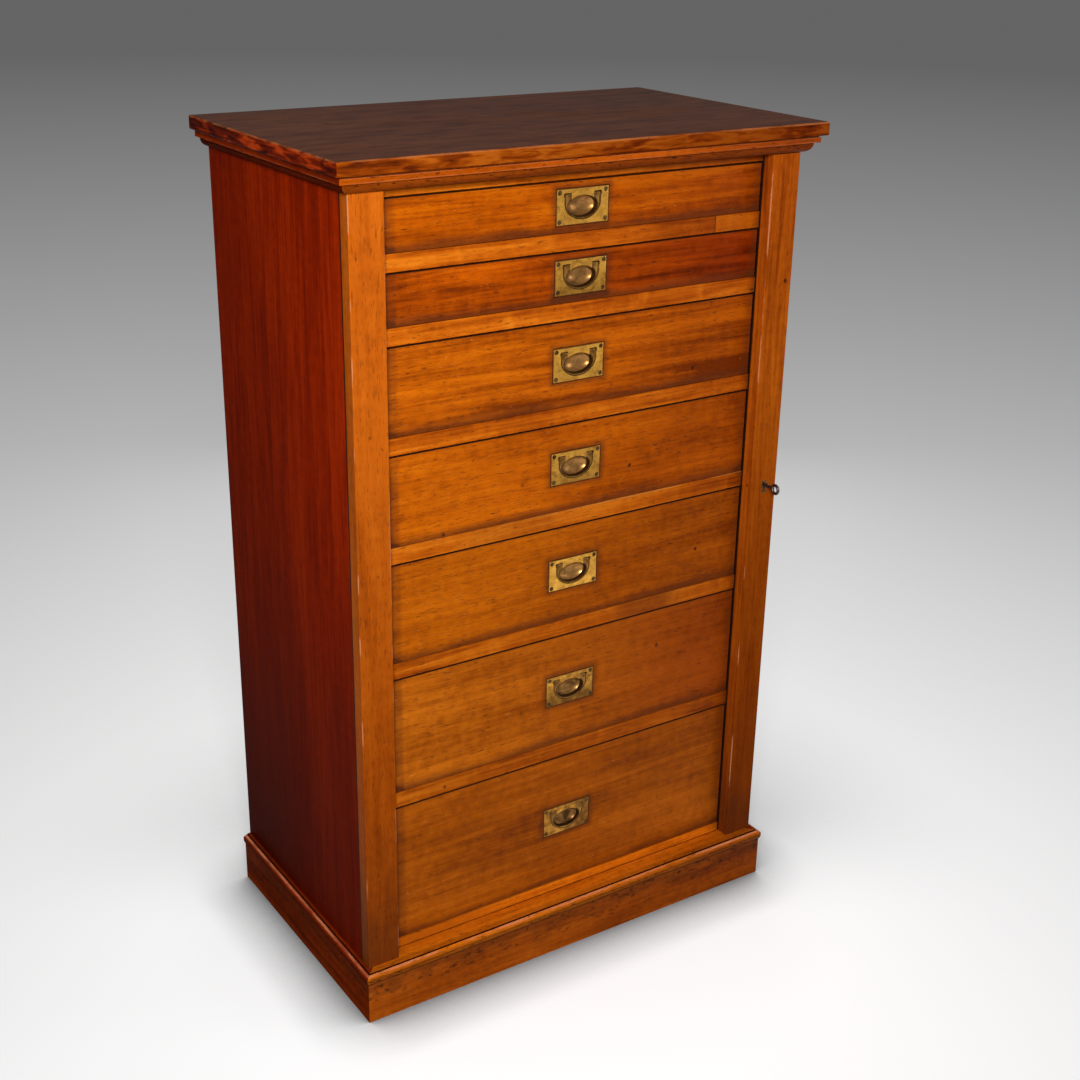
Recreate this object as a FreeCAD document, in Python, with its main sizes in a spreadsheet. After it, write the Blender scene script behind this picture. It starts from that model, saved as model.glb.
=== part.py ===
import FreeCAD, Part
import math
import os
import re
import Sketcher
from FreeCAD import Placement, Rotation, Vector

# Wellington chest: a tall narrow chest of seven graduated drawers in mahogany.
# A fixed stile covers the left drawer ends. The right stile is hinged and locks.
# X runs to the right, Y to the back and Z up, in millimetres, with the floor at zero.

DRAWERS = range(1, 8)

SIZES = {
    # Carcass: the case without its top board and plinth
    "carcass_width": 680,
    "carcass_depth": 402,
    "side_thick": 20,
    "stile_width": 47,
    "stile_thick": 22,
    "post_depth": 38,
    "back_thick": 12,
    "back_rebate": 10,
    "back_gap": 1,
    "arris": 1.2,
    "soft_edge": 0.6,
    # Top board, with the same overhang at the front and at both sides
    "top_over": 25,
    "top_thick": 18,
    "top_edge": 2,
    # Cornice moulding under the top board
    "ovolo": 11.5,
    "cornice_step": 2,
    "fillet_reach": 18,
    "fillet_rise": 7,
    "quirk_depth": 2.5,
    "quirk_rise": 2.5,
    # Plinth: boards on the floor under a moulded ledge
    "plinth_rise": 62,
    "plinth_thick": 18,
    "plinth_front_reach": 15,
    "plinth_side_reach": 9,
    "block_size": 24,
    "ledge_thick": 16,
    "ledge_width": 62,
    "ledge_flat": 4.5,
    "ledge_quirk": 1,
    "nose_reach": 2.5,
    "nose_rise": 4,
    "nose_curve": 8,
    # Drawer openings from the top one down, and the rails between them
    "opening_1": 67.5,
    "opening_2": 68,
    "opening_3": 117.5,
    "opening_4": 124,
    "opening_5": 141.5,
    "opening_6": 172,
    "opening_7": 213,
    "rail_thick": 22,
    "rail_depth": 60,
    "bottom_rail": 14,
    "top_reveal": 11.5,
    "runner_width": 42,
    "guide_rise": 20,
    "dust_thick": 8,
    "dust_groove": 6,
    # Drawers
    "front_thick": 22,
    "front_set_back": 0.5,
    "front_lap": 6,
    "rear_clear": 7.5,
    "drawer_side": 10,
    "drawer_bottom": 6,
    "bottom_groove": 4,
    "bottom_lift": 8,
    "side_gap": 0.8,
    "top_gap": 2,
    "foot_gap": 0.5,
    "side_drop": 1.5,
    "back_drop": 8,
    "tail_pitch": 36,
    "tail_run": 6,
    # Flush handle: a cast plate with a finger bowl and a drop bail
    "plate_width": 79,
    "plate_height": 45.5,
    "plate_thick": 2,
    "plate_corner": 1,
    "plate_proud": 0.4,
    "pan_wall": 1.6,
    "bail_width": 55,
    "bail_height": 34,
    "bail_thick": 4,
    "bail_arm": 10.1,
    "bail_curve_rise": 22,
    "bail_play": 0.4,
    "bowl_width": 45,
    "bowl_height": 28,
    "bowl_deep": 10,
    "trunnion_reach": 1.3,
    "bearing_play": 0.05,
    "mortise_play": 0.4,
    # Hinged stile, its hinges, lock and key
    "stile_play": 1,
    "closing_gap": 0.6,
    "hinge_length": 64,
    "hinge_leaf": 1.5,
    "hinge_width": 18,
    "knuckle": 3,
    "knuckle_stand": 0.2,
    "knuckle_play": 0.3,
    "hinge_pin": 1.2,
    "key_inset": 22,
    "key_height": 666,
    "keyhole": 3.2,
    "keyhole_slot": 3,
    "keyhole_drop": 11,
    "escutcheon_width": 9,
    "escutcheon_rise": 6,
    "escutcheon_fall": 13,
    "escutcheon_thick": 1.5,
    "lock_width": 38,
    "lock_fall": 22,
    "lock_rise": 24,
    "lock_deep": 12,
    "lock_wall": 1.5,
    "lock_cap": 2,
    "lock_lip": 6,
    "staple_thick": 3,
    "staple_inset": 8.5,
    "staple_reach": 10.5,
    "staple_wall": 2.4,
    "staple_play": 1.2,
    "staple_swing": 1.3,
    "keeper_width": 14,
    "keeper_lip": 7,
    "keeper_thick": 1.5,
    "bolt_thick": 3.5,
    "bolt_rise": 8,
    "bolt_lift": 6,
    "bolt_length": 26,
    "bolt_throw": 6,
    "bolt_play": 0.6,
    "bolt_tail": 3,
    "tail_stand": 3.8,
    "tail_drop": 2,
    "shank": 2.5,
    "bit_reach": 8.5,
    "bit_thick": 2.2,
    "bit_length": 4.5,
    "bow_stand": 25,
    "bow_radius": 6.7,
    "bow_wire": 1.6,
    "collar": 3.8,
    "collar_stand": 4,
    "collar_length": 3,
    # One overrun for every tool that cuts right through
    "overrun": 5,
}

DERIVED = {
    "half_width": "carcass_width / 2",
    "inner_half": "half_width - side_thick",
    "opening_half": "half_width - stile_width",
    "key_reach": "bow_stand + bow_radius + bow_wire",
    "face": "-(carcass_depth - key_reach) / 2",
    "rear": "face + carcass_depth",
    "rail_face": "face + stile_thick",
    "back_face": "rear - back_thick",
    "ledge_top": "plinth_rise + ledge_thick",
    "floor_7": "ledge_top + bottom_rail",
    "floor_6": "floor_7 + opening_7 + rail_thick",
    "floor_5": "floor_6 + opening_6 + rail_thick",
    "floor_4": "floor_5 + opening_5 + rail_thick",
    "floor_3": "floor_4 + opening_4 + rail_thick",
    "floor_2": "floor_3 + opening_3 + rail_thick",
    "floor_1": "floor_2 + opening_2 + rail_thick",
    "opening_head": "floor_1 + opening_1",
    "cornice_foot": "opening_head + top_reveal",
    "fillet_foot": "cornice_foot + ovolo + cornice_step",
    "fillet_head": "fillet_foot + fillet_rise",
    "top_foot": "fillet_head + quirk_rise",
    "top_head": "top_foot + top_thick",
    "plinth_half": "half_width + plinth_side_reach",
    "plinth_face": "face - plinth_front_reach",
    "nose_half": "plinth_half + nose_reach",
    "nose_face": "plinth_face - nose_reach",
    "drawer_half": "opening_half - side_gap",
    "drawer_face": "rail_face + front_set_back",
    "front_back": "drawer_face + front_thick",
    "drawer_rear": "back_face - rear_clear",
    "plate_face": "drawer_face - plate_proud",
    "bail_pivot": "bail_height / 2 - bail_thick / 2 - trunnion_reach / 2",
    "bail_curve_centre": "bail_curve_rise - bail_height / 2",
    "stile_back": "rail_face - closing_gap",
    "stile_foot": "ledge_top + stile_play",
    "stile_head": "cornice_foot - stile_play",
    "hinge_axis": "half_width + knuckle_stand + knuckle",
    "hinge_plane": "rail_face - closing_gap / 2",
    "key_line": "half_width - key_inset",
    "cap_back": "stile_back",
    "lock_front": "cap_back - lock_cap - lock_deep",
    "lock_low": "key_height - lock_fall",
    "lock_high": "key_height + lock_rise",
    "staple_left": "opening_half + staple_inset",
    "staple_right": "staple_left + staple_thick",
    "bolt_foot": "key_height + bolt_lift",
    "bolt_head": "bolt_foot + bolt_rise",
    "bolt_front": "rail_face - staple_reach + staple_wall + bolt_play",
    "bolt_back": "bolt_front + bolt_thick",
    "bolt_nose": "staple_right + staple_play",
    "lock_left": "bolt_nose - bolt_throw - bolt_play - lock_wall",
    "lock_right": "key_line + lock_width / 2",
}

# Hinges stand at these shares of the hinged stile's height
HINGE_SHARES = (0.1, 0.9)
KNUCKLES = 3

# The sides that stand for an oval, and the depths of the bowl's rings as shares of its depth
OVAL_SIDES = 16
BOWL_RING_SHARES = (0, 0.55, 0.94)

# A dovetail's narrow root takes this share of its pitch
TAIL_ROOT_SHARE = 0.6

# How near two levels count as one, how straight an edge must run, and the mitres' angle
NEAR = 1e-4
STRAIGHT_SHARE = 0.9
MITRE_ANGLE = 45

doc = FreeCAD.newDocument("wellington_chest")
sheet = doc.addObject("Spreadsheet::Sheet", "Sizes")


def fill_sheet():
    """Write each driving size as a number and each derived size as a formula."""
    rows = list(SIZES.items()) + [(name, "=" + rule) for name, rule in DERIVED.items()]
    for row, (name, entry) in enumerate(rows, start=1):
        sheet.set(f"A{row}", name)
        sheet.set(f"B{row}", str(entry))
        sheet.setAlias(f"B{row}", name)
    doc.recompute()


def cells(rule):
    """Point the plain names in a rule at the cells of the sheet."""
    def point(found):
        word = found.group(0)
        return "Sizes." + word if word in SIZES or word in DERIVED else word
    return re.sub(r"[a-z][a-z_]*[0-9]?", point, str(rule))


def value(rule):
    """The number that a rule gives now."""
    return float(sheet.evalExpression(cells(rule)))


def bind(piece, **rules):
    """Bind properties to the sheet. A double underscore stands for a point."""
    for name, rule in rules.items():
        piece.setExpression(name.replace("__", "."), cells(rule))
    return piece


def place(piece, x="0", y="0", z="0"):
    """Bind where a piece stands."""
    return bind(piece, Placement__Base__x=x, Placement__Base__y=y, Placement__Base__z=z)


def block(name, x, y, z):
    """A square-edged piece between two planes each way."""
    piece = doc.addObject("Part::Box", name)
    bind(piece, Length=f"({x[1]}) - ({x[0]})", Width=f"({y[1]}) - ({y[0]})")
    bind(piece, Height=f"({z[1]}) - ({z[0]})")
    return place(piece, x[0], y[0], z[0])


def rod(name, radius, length, direction, x, y, z):
    """A round piece that starts at a point and runs along a direction."""
    piece = doc.addObject("Part::Cylinder", name)
    piece.Placement = Placement(Vector(), Rotation(Vector(0, 0, 1), Vector(*direction)))
    bind(piece, Radius=radius, Height=length)
    return place(piece, x, y, z)


def faceted_rod(name, radius, length, direction, x, y, z):
    """A rod with flat sides for a piece too small to need a round one."""
    piece = doc.addObject("Part::Prism", name)
    piece.Polygon = OVAL_SIDES
    piece.Placement = Placement(Vector(), Rotation(Vector(0, 0, 1), Vector(*direction)))
    bind(piece, Circumradius=radius, Height=length)
    return place(piece, x, y, z)


def oval_ring(half_across, half_up, depth):
    """The corners of an upright oval, by its formula, with so many straight sides."""
    turns = [2 * math.pi * step / OVAL_SIDES for step in range(OVAL_SIDES)]
    return [Vector(half_across * math.cos(turn), depth, half_up * math.sin(turn)) for turn in turns]


def ring_solid(name, rings):
    """A solid through a row of oval rings, closed flat at both ends."""
    faces = [Part.Face(Part.makePolygon(ring + ring[:1])) for ring in (rings[0], rings[-1])]
    for near, far in zip(rings, rings[1:]):
        for index in range(OVAL_SIDES):
            corners = [near[index - 1], near[index], far[index], far[index - 1]]
            faces.append(Part.Face(Part.makePolygon(corners + corners[:1])))
    solid = Part.Solid(Part.Shell(faces))
    if solid.Volume < 0:
        solid.reverse()
    piece = doc.addObject("Part::Feature", name)
    piece.Shape = solid
    return piece


def oval_rod(name, half_across, half_up, start, end, z):
    """An oval run straight back from one depth to another."""
    across = value(half_across)
    up = value(half_up)
    rings = [oval_ring(across, up, 0), oval_ring(across, up, value(end) - value(start))]
    return place(ring_solid(name, rings), "0", start, z)


def fuse(name, pieces):
    """Join pieces that touch into one solid."""
    joined = doc.addObject("Part::MultiFuse", name)
    joined.Shapes = pieces
    joined.Refine = True
    return joined


def cut(name, base, tools):
    """Take tools away from a piece, one after another."""
    for number, tool in enumerate(tools, start=1):
        last = number == len(tools)
        result = doc.addObject("Part::Cut", name if last else f"{name}_cut_{number}")
        result.Base = base
        result.Tool = tool
        base = result
    return base


def common(name, first, second):
    """Keep what two pieces share."""
    result = doc.addObject("Part::Common", name)
    result.Base = first
    result.Tool = second
    return result


def group(name, pieces):
    """Several solids that stay apart in one sub-part."""
    held = doc.addObject("Part::Compound", name)
    held.Links = pieces
    return held


def moved(name, piece, x="0", y="0", z="0"):
    """A repeat of a piece at another place."""
    return place(group(name, [piece]), x, y, z)


def mirrored(name, piece):
    """The same piece for the other side of the chest."""
    twin = doc.addObject("Part::Mirroring", name)
    twin.Source = piece
    twin.Normal = Vector(1, 0, 0)
    return twin


def arc_through(start, end, radius, side):
    """A short arc between two spots that bulges to the left (+1) or right (-1) of the way."""
    chord = end - start
    half = chord.Length / 2
    rise = radius - math.sqrt(max(radius * radius - half * half, 0))
    across = Vector(-chord.y, chord.x, 0).normalize() * rise * side
    middle = (start + end) / 2 + across
    if side > 0:
        return Part.Arc(end, middle, start)
    return Part.Arc(start, middle, end)


def draw(sketch, corners):
    """Close an outline. A corner is (across, up), and (across, up, radius, side) ends an arc."""
    spots = [Vector(value(corner[0]), value(corner[1]), 0) for corner in corners]
    ends = []
    for index, corner in enumerate(corners):
        if len(corner) == 2:
            sketch.addGeometry(Part.LineSegment(spots[index - 1], spots[index]))
            ends.append((1, 2))
        else:
            arc = arc_through(spots[index - 1], spots[index], value(corner[2]), corner[3])
            sketch.addGeometry(arc)
            ends.append((2, 1) if corner[3] > 0 else (1, 2))
    for index, corner in enumerate(corners):
        after = (index + 1) % len(corners)
        joint = Sketcher.Constraint("Coincident", index, ends[index][1], after, ends[after][0])
        sketch.addConstraint(joint)
        for kind, rule in (("DistanceX", corner[0]), ("DistanceY", corner[1])):
            size = Sketcher.Constraint(kind, -1, 1, index, ends[index][1], value(rule))
            number = sketch.addConstraint(size)
            sketch.setExpression(f"Constraints[{number}]", cells(rule))
        if len(corner) > 2:
            number = sketch.addConstraint(Sketcher.Constraint("Radius", index, value(corner[2])))
            sketch.setExpression(f"Constraints[{number}]", cells(corner[2]))


def padded(name, plane, corners, level, length):
    """A body made by drawing an outline on a plane at some level and padding it."""
    body = doc.addObject("PartDesign::Body", name)
    sketch = body.newObject("Sketcher::SketchObject", name + "_outline")
    planes = {feature.Role: feature for feature in body.Origin.OriginFeatures}
    sketch.AttachmentSupport = [(planes[plane], "")]
    sketch.MapMode = "FlatFace"
    bind(sketch, AttachmentOffset__Base__z=level)
    draw(sketch, corners)
    pad = body.newObject("PartDesign::Pad", name + "_pad")
    pad.Profile = sketch
    bind(pad, Length=length)
    doc.recompute()
    return body


def soften(body, radius, chosen, rounded=True):
    """Round or chamfer the edges of a body whose middle point and direction are chosen."""
    base = body.Tip
    picked = []
    for number, edge in enumerate(base.Shape.Edges, start=1):
        middle = edge.valueAt((edge.FirstParameter + edge.LastParameter) / 2)
        if chosen(middle, edge.tangentAt(edge.FirstParameter)):
            picked.append(f"Edge{number}")
    kind, size = ("PartDesign::Fillet", "Radius") if rounded else ("PartDesign::Chamfer", "Size")
    edge_work = body.newObject(kind, body.Name + "_arris")
    edge_work.Base = (base, picked)
    bind(edge_work, **{size: radius})
    body.Tip = edge_work
    doc.recompute()
    return body


def board(name, x, y, z):
    """A plain board as a body, padded upwards from its lower face."""
    corners = [(x[0], y[0]), (x[1], y[0]), (x[1], y[1]), (x[0], y[1])]
    return padded(name, "XY_Plane", corners, z[0], f"({z[1]}) - ({z[0]})")


def front_edges(face):
    """Edges that lie on the front face of a board."""
    level = value(face)
    return lambda middle, way: abs(middle.y - level) < NEAR


def upright_front_edges(face):
    """Only the upright ones of those edges."""
    level = value(face)
    return lambda middle, way: abs(middle.y - level) < NEAR and abs(way.z) > STRAIGHT_SHARE


def mitre_saw(name, corner_x, corner_y, side):
    """A block whose face is the mitre at a right-hand front corner.

    Side +1 takes away what lies behind the mitre, and side -1 what lies before it.
    """
    saw = doc.addObject("Part::Box", name)
    saw.Placement = Placement(Vector(), Rotation(Vector(0, 0, 1), MITRE_ANGLE))
    reach = "2 * carcass_width"
    bind(saw, Length=reach, Width=reach, Height="top_head + 2 * overrun")
    slide = "carcass_width * sqrt(0.5)"
    back = "0" if side > 0 else "2 * carcass_width * sqrt(0.5)"
    x = f"{corner_x} + {slide} - {back}"
    y = f"{corner_y} - {slide} - {back}"
    return place(saw, x, y, "-overrun")


def moulding_run(name, outline, reach, corner_x, corner_y, behind_corner):
    """A moulding round the front and both sides, mitred at the front corners.

    The outline is a list of (outwards, up) corners, outwards from a plane that lies
    reach behind the outer corner of the moulding. What the carcass takes up behind
    the corner is cut from the side run.
    """
    front_corners = [(f"{corner_y} + {reach} - ({c[0]})",) + tuple(c[1:]) for c in outline]
    side_corners = [(f"{corner_x} - {reach} + ({c[0]})",) + tuple(c[1:]) for c in outline]
    flipped = [c if len(c) == 2 else (c[0], c[1], c[2], -c[3]) for c in front_corners]
    length = f"2 * ({corner_x})"
    front = padded(name + "_front_run", "YZ_Plane", flipped, f"-({corner_x})", length)
    depth = f"rear - ({corner_y})"
    side = padded(name + "_side_run", "XZ_Plane", side_corners, "-rear", depth)
    behind = mitre_saw(name + "_saw_behind", corner_x, corner_y, 1)
    before = mitre_saw(name + "_saw_before", corner_x, corner_y, -1)
    other = mirrored(name + "_saw_other", behind)
    cut(name + "_front", front, [behind, other])
    right = cut(name + "_right", side, [before] + behind_corner)
    mirrored(name + "_left", right)
    return right


def both_sides(low, high):
    """The spans of a piece on the left and of its twin on the right."""
    return ((f"-({high})", f"-({low})"), (low, high))


def make_top():
    """The top board, rounded along its front and side edges."""
    half = "half_width + top_over"
    top = board("top_board", (f"-({half})", half), ("face - top_over", "rear"), ("top_foot", "top_head"))
    rear = value("rear")
    soften(top, "top_edge", lambda middle, way: abs(way.z) < NEAR and middle.y < rear - NEAR)


def make_cornice():
    """The cornice moulding under the top board: an ovolo, a fillet and a quirk."""
    outline = [
        ("-stile_thick", "cornice_foot"),
        ("0", "cornice_foot"),
        ("ovolo", "cornice_foot + ovolo", "ovolo", -1),
        ("ovolo", "fillet_foot"),
        ("fillet_reach", "fillet_foot"),
        ("fillet_reach", "fillet_head"),
        ("fillet_reach - quirk_depth", "fillet_head"),
        ("fillet_reach - quirk_depth", "top_foot"),
        ("-stile_thick", "top_foot"),
    ]
    corner_x = "half_width + fillet_reach"
    corner_y = "face - fillet_reach"
    room = block("cornice_room", ("opening_half", "half_width"), ("rail_face", "rear + overrun"),
                 ("cornice_foot - overrun", "top_foot + overrun"))
    moulding_run("cornice", outline, "fillet_reach", corner_x, corner_y, [room])


def make_plinth():
    """Four plinth boards, the glue blocks in their corners and the moulded ledge on them."""
    rise = ("0", "plinth_rise")
    half = "plinth_half"
    inner = "plinth_half - plinth_thick"
    behind = mitre_saw("plinth_saw_behind", half, "plinth_face", 1)
    before = mitre_saw("plinth_saw_before", half, "plinth_face", -1)
    other = mirrored("plinth_saw_other", behind)
    deep = ("plinth_face", "plinth_face + plinth_thick")
    front = block("plinth_front_board", (f"-({half})", half), deep, rise)
    cut("plinth_front", front, [behind, other])
    side = block("plinth_side_board", (inner, half), ("plinth_face", "rear"), rise)
    right = cut("plinth_right", side, [before])
    mirrored("plinth_left", right)
    blocks = []
    depths = (
        ("plinth_face + plinth_thick", "plinth_face + plinth_thick + block_size"),
        ("rear - plinth_thick - block_size", "rear - plinth_thick"),
    )
    for row, span in enumerate(depths):
        for column, across in enumerate(both_sides(f"{inner} - block_size", inner)):
            blocks.append(block(f"corner_block_{row}{column}", across, span, rise))
    group("glue_blocks", blocks)

    outline = [
        ("-ledge_width", "plinth_rise"),
        ("-nose_reach", "plinth_rise"),
        ("0", "plinth_rise + nose_curve", "nose_curve + nose_reach", -1),
        ("0", "plinth_rise + nose_curve + nose_rise"),
        ("-nose_reach - ledge_flat + ledge_quirk", "ledge_top - ledge_quirk"),
        ("-nose_reach - ledge_flat", "ledge_top - ledge_quirk"),
        ("-nose_reach - ledge_flat", "ledge_top"),
        ("-ledge_width", "ledge_top"),
    ]
    right = moulding_run("ledge", outline, "0", "nose_half", "nose_face", [])
    across = (f"-({inner})", inner)
    back = block("plinth_back_board", across, ("rear - plinth_thick", "rear"), ("0", "ledge_top"))
    cut("plinth_back", back, [right, doc.getObject("ledge_left")])


def make_carcass():
    """Side panels, posts behind the stiles, bottom, top frame, rails, runners and back."""
    full = ("ledge_top", "top_foot")
    boards = []
    third = "(inner_half + back_rebate) * 2 / 3"
    for number in range(3):
        left = f"-(inner_half + back_rebate) + {number} * ({third})"
        across = (f"{left} + back_gap / 2", f"{left} + ({third}) - back_gap / 2")
        boards.append(block(f"back_board_{number}", across, ("back_face", "rear"), full))
    group("back_boards", boards)
    rebate = block("back_rebate_tool", ("inner_half", "inner_half + back_rebate"),
                   ("back_face", "rear + overrun"), ("ledge_top - overrun", "top_foot + overrun"))

    recesses = [rebate]
    for number, share in enumerate(HINGE_SHARES):
        recesses.append(leaf_block(f"panel_recess_{number}", share, "fixed"))
    panel = block("side_panel_board", ("inner_half", "half_width"), ("rail_face", "rear"), full)
    cut("side_right", panel, recesses)
    plain = cut("side_plain", panel, [rebate])
    mirrored("side_left", plain)

    post = (("opening_half", "inner_half"), ("rail_face", "rail_face + post_depth"))
    right_post = block("right_post_board", post[0], post[1], full)
    keeper_seat = block("keeper_seat", *keeper_plate())
    cut("right_post", right_post, [keeper_seat])
    mirrored("left_post", block("left_post_board", post[0], post[1], full))

    stile_span = ("-half_width", "-opening_half")
    stile = board("fixed_stile", stile_span, ("face", "rail_face"), ("ledge_top", "cornice_foot"))
    soften(stile, "arris", upright_front_edges("face"))

    inside = ("-inner_half", "inner_half")
    lower = ("ledge_top", "floor_7")
    clear = "rail_face + post_depth"
    front_rail = block("bottom_rail_board", ("-opening_half", "opening_half"),
                       ("rail_face", "rail_face + rail_depth"), lower)
    bottom_slab = block("bottom_slab", inside, (clear, "back_face"), lower)
    cut("bottom_board", bottom_slab, [front_rail])

    dust = []
    rails = [front_rail]
    runners = []
    for number in list(DRAWERS)[:-1]:
        head = f"floor_{number}"
        foot = f"floor_{number} - rail_thick"
        middle = f"floor_{number} - rail_thick / 2"
        panel_half = "inner_half - runner_width + dust_groove"
        sheet_board = block(f"dust_board_{number}", (f"-({panel_half})", panel_half),
                            ("rail_face + rail_depth - dust_groove", "back_face"),
                            (f"{middle} - dust_thick / 2", f"{middle} + dust_thick / 2"))
        dust.append(sheet_board)
        rail = block(f"rail_blank_{number}", ("-opening_half", "opening_half"),
                     ("rail_face", "rail_face + rail_depth"), (foot, head))
        rails.append(cut(f"rail_{number}", rail, [sheet_board]))
        inner = "inner_half - runner_width"
        for column, across in enumerate(both_sides(inner, "inner_half")):
            runner = block(f"runner_blank_{number}{column}", across, (clear, "back_face"), (foot, head))
            runners.append(cut(f"runner_{number}{column}", runner, [rail, sheet_board]))
    for number in DRAWERS:
        head = f"floor_{number} + guide_rise"
        for column, across in enumerate(both_sides("opening_half", "inner_half")):
            guide = block(f"guide_{number}{column}", across, (clear, "back_face"), (f"floor_{number}", head))
            runners.append(guide)
    group("dust_boards", dust)
    group("drawer_runners", runners)
    rails.append(block("top_rail", ("-opening_half", "opening_half"),
                       ("rail_face", "rail_face + rail_depth"), ("opening_head", "top_foot")))
    group("drawer_rails", rails)

    head = ("opening_head", "top_foot")
    kickers = [block("rear_top_rail", inside, ("back_face - rail_depth", "back_face"), head)]
    for column, across in enumerate(both_sides("inner_half - runner_width", "inner_half")):
        kicker = block(f"kicker_blank_{column}", across, (clear, "back_face - rail_depth"), head)
        top_rail = rails[-1]
        kickers.append(cut(f"kicker_{column}", kicker, [top_rail]))
    group("top_frame", kickers)


def tail(name, across, wide_end, root, centre, root_width):
    """One dovetail, wide at its free end and narrow at its root."""
    wedge = doc.addObject("Part::Wedge", name)
    run = f"abs(({root}) - ({wide_end}))"
    spread = f"({run}) / tail_run"
    wide = f"({root_width}) / 2 + {spread}"
    narrow = f"({root_width}) / 2"
    bind(wedge, Xmin="0", X2min="0", Xmax=across[1] + " - (" + across[0] + ")")
    bind(wedge, X2max=across[1] + " - (" + across[0] + ")", Ymin="0", Ymax=run)
    at_low, at_high = (wide, narrow) if value(root) > value(wide_end) else (narrow, wide)
    bind(wedge, Zmin=f"-({at_low})", Zmax=at_low, Z2min=f"-({at_high})", Z2max=at_high)
    start = wide_end if value(root) > value(wide_end) else root
    return place(wedge, across[0], start, centre)


def tails(name, across, wide_end, root, low, high):
    """A row of dovetails between two heights, as many as the pitch allows."""
    count = max(1, round((value(high) - value(low)) / value("tail_pitch")))
    pitch = f"(({high}) - ({low})) / {count}"
    row = []
    for number in range(count):
        centre = f"({low}) + ({pitch}) * {number + 0.5}"
        width = f"({pitch}) * {TAIL_ROOT_SHARE}"
        row.append(tail(f"{name}_{number}", across, wide_end, root, centre, width))
    return group(name, row)


def make_drawer(number, handle):
    """One drawer: a lapped front, two dovetailed sides, a back and a grooved bottom."""
    name = f"drawer_{number}"
    floor = f"floor_{number}"
    head = f"floor_{number} + opening_{number} - top_gap"
    side_head = f"{head} - side_drop"
    bottom_foot = f"{floor} + bottom_lift"
    bottom_head = f"{bottom_foot} + drawer_bottom"
    thick = ("drawer_half - drawer_side", "drawer_half")

    front_tails = tails(name + "_front_tails", thick, "drawer_face + front_lap", "front_back",
                        f"{floor} + foot_gap", side_head)
    back_tails = tails(name + "_back_tails", thick, "drawer_rear", "drawer_rear - drawer_side",
                       bottom_head, f"{head} - back_drop")
    groove_half = "drawer_half - drawer_side + bottom_groove"
    bottom = block(name + "_bottom", (f"-({groove_half})", groove_half),
                   ("front_back - bottom_groove", "drawer_rear"), (bottom_foot, bottom_head))
    web = block(name + "_side_web", thick, ("front_back", "drawer_rear - drawer_side"),
                (floor, side_head))
    heel = block(name + "_side_heel", thick, ("drawer_rear - drawer_side - overrun", "drawer_rear"),
                 (floor, bottom_head))
    whole = fuse(name + "_side_blank", [web, heel, front_tails, back_tails])
    right = cut(name + "_side_right", whole, [bottom])
    left = mirrored(name + "_side_left", right)
    back_blank = block(name + "_back_blank", ("-drawer_half", "drawer_half"),
                       ("drawer_rear - drawer_side", "drawer_rear"),
                       (bottom_head, f"{head} - back_drop"))
    far_tails = mirrored(name + "_far_back_tails", back_tails)
    back = cut(name + "_back", back_blank, [back_tails, far_tails])
    group(name + "_box", [left, right, back, bottom])

    blank = board(name + "_front_blank", ("-drawer_half", "drawer_half"),
                  ("drawer_face", "front_back"), (f"{floor} + foot_gap", head))
    soften(blank, "soft_edge", front_edges("drawer_face"), rounded=False)
    near = mirrored(name + "_near_front_tails", front_tails)
    centre = f"{floor} + foot_gap + (opening_{number} - foot_gap - top_gap) / 2"
    mortise = moved(name + "_mortise", handle["mortise"], z=centre)
    cut(name + "_front", blank, [front_tails, near, bottom, mortise])
    moved(name + "_plate", handle["plate"], z=centre)
    moved(name + "_bail", handle["bail"], z=centre)


def horseshoe(name, margin, start, end):
    """The outline of the drop bail: a square-shouldered top on a half oval."""
    half = f"bail_width / 2 + {margin}"
    shoulders = block(name + "_shoulders", (f"-({half})", half), (start, end),
                      ("bail_curve_centre", f"bail_height / 2 + {margin}"))
    whole = oval_rod(name + "_oval_rod", half, f"bail_curve_rise + {margin}", start, end,
                     "bail_curve_centre")
    lower = block(name + "_lower_half", (f"-({half})", half), (start, end),
                  ("-bail_height", "bail_curve_centre"))
    return fuse(name, [shoulders, common(name + "_curve", whole, lower)])


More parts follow.
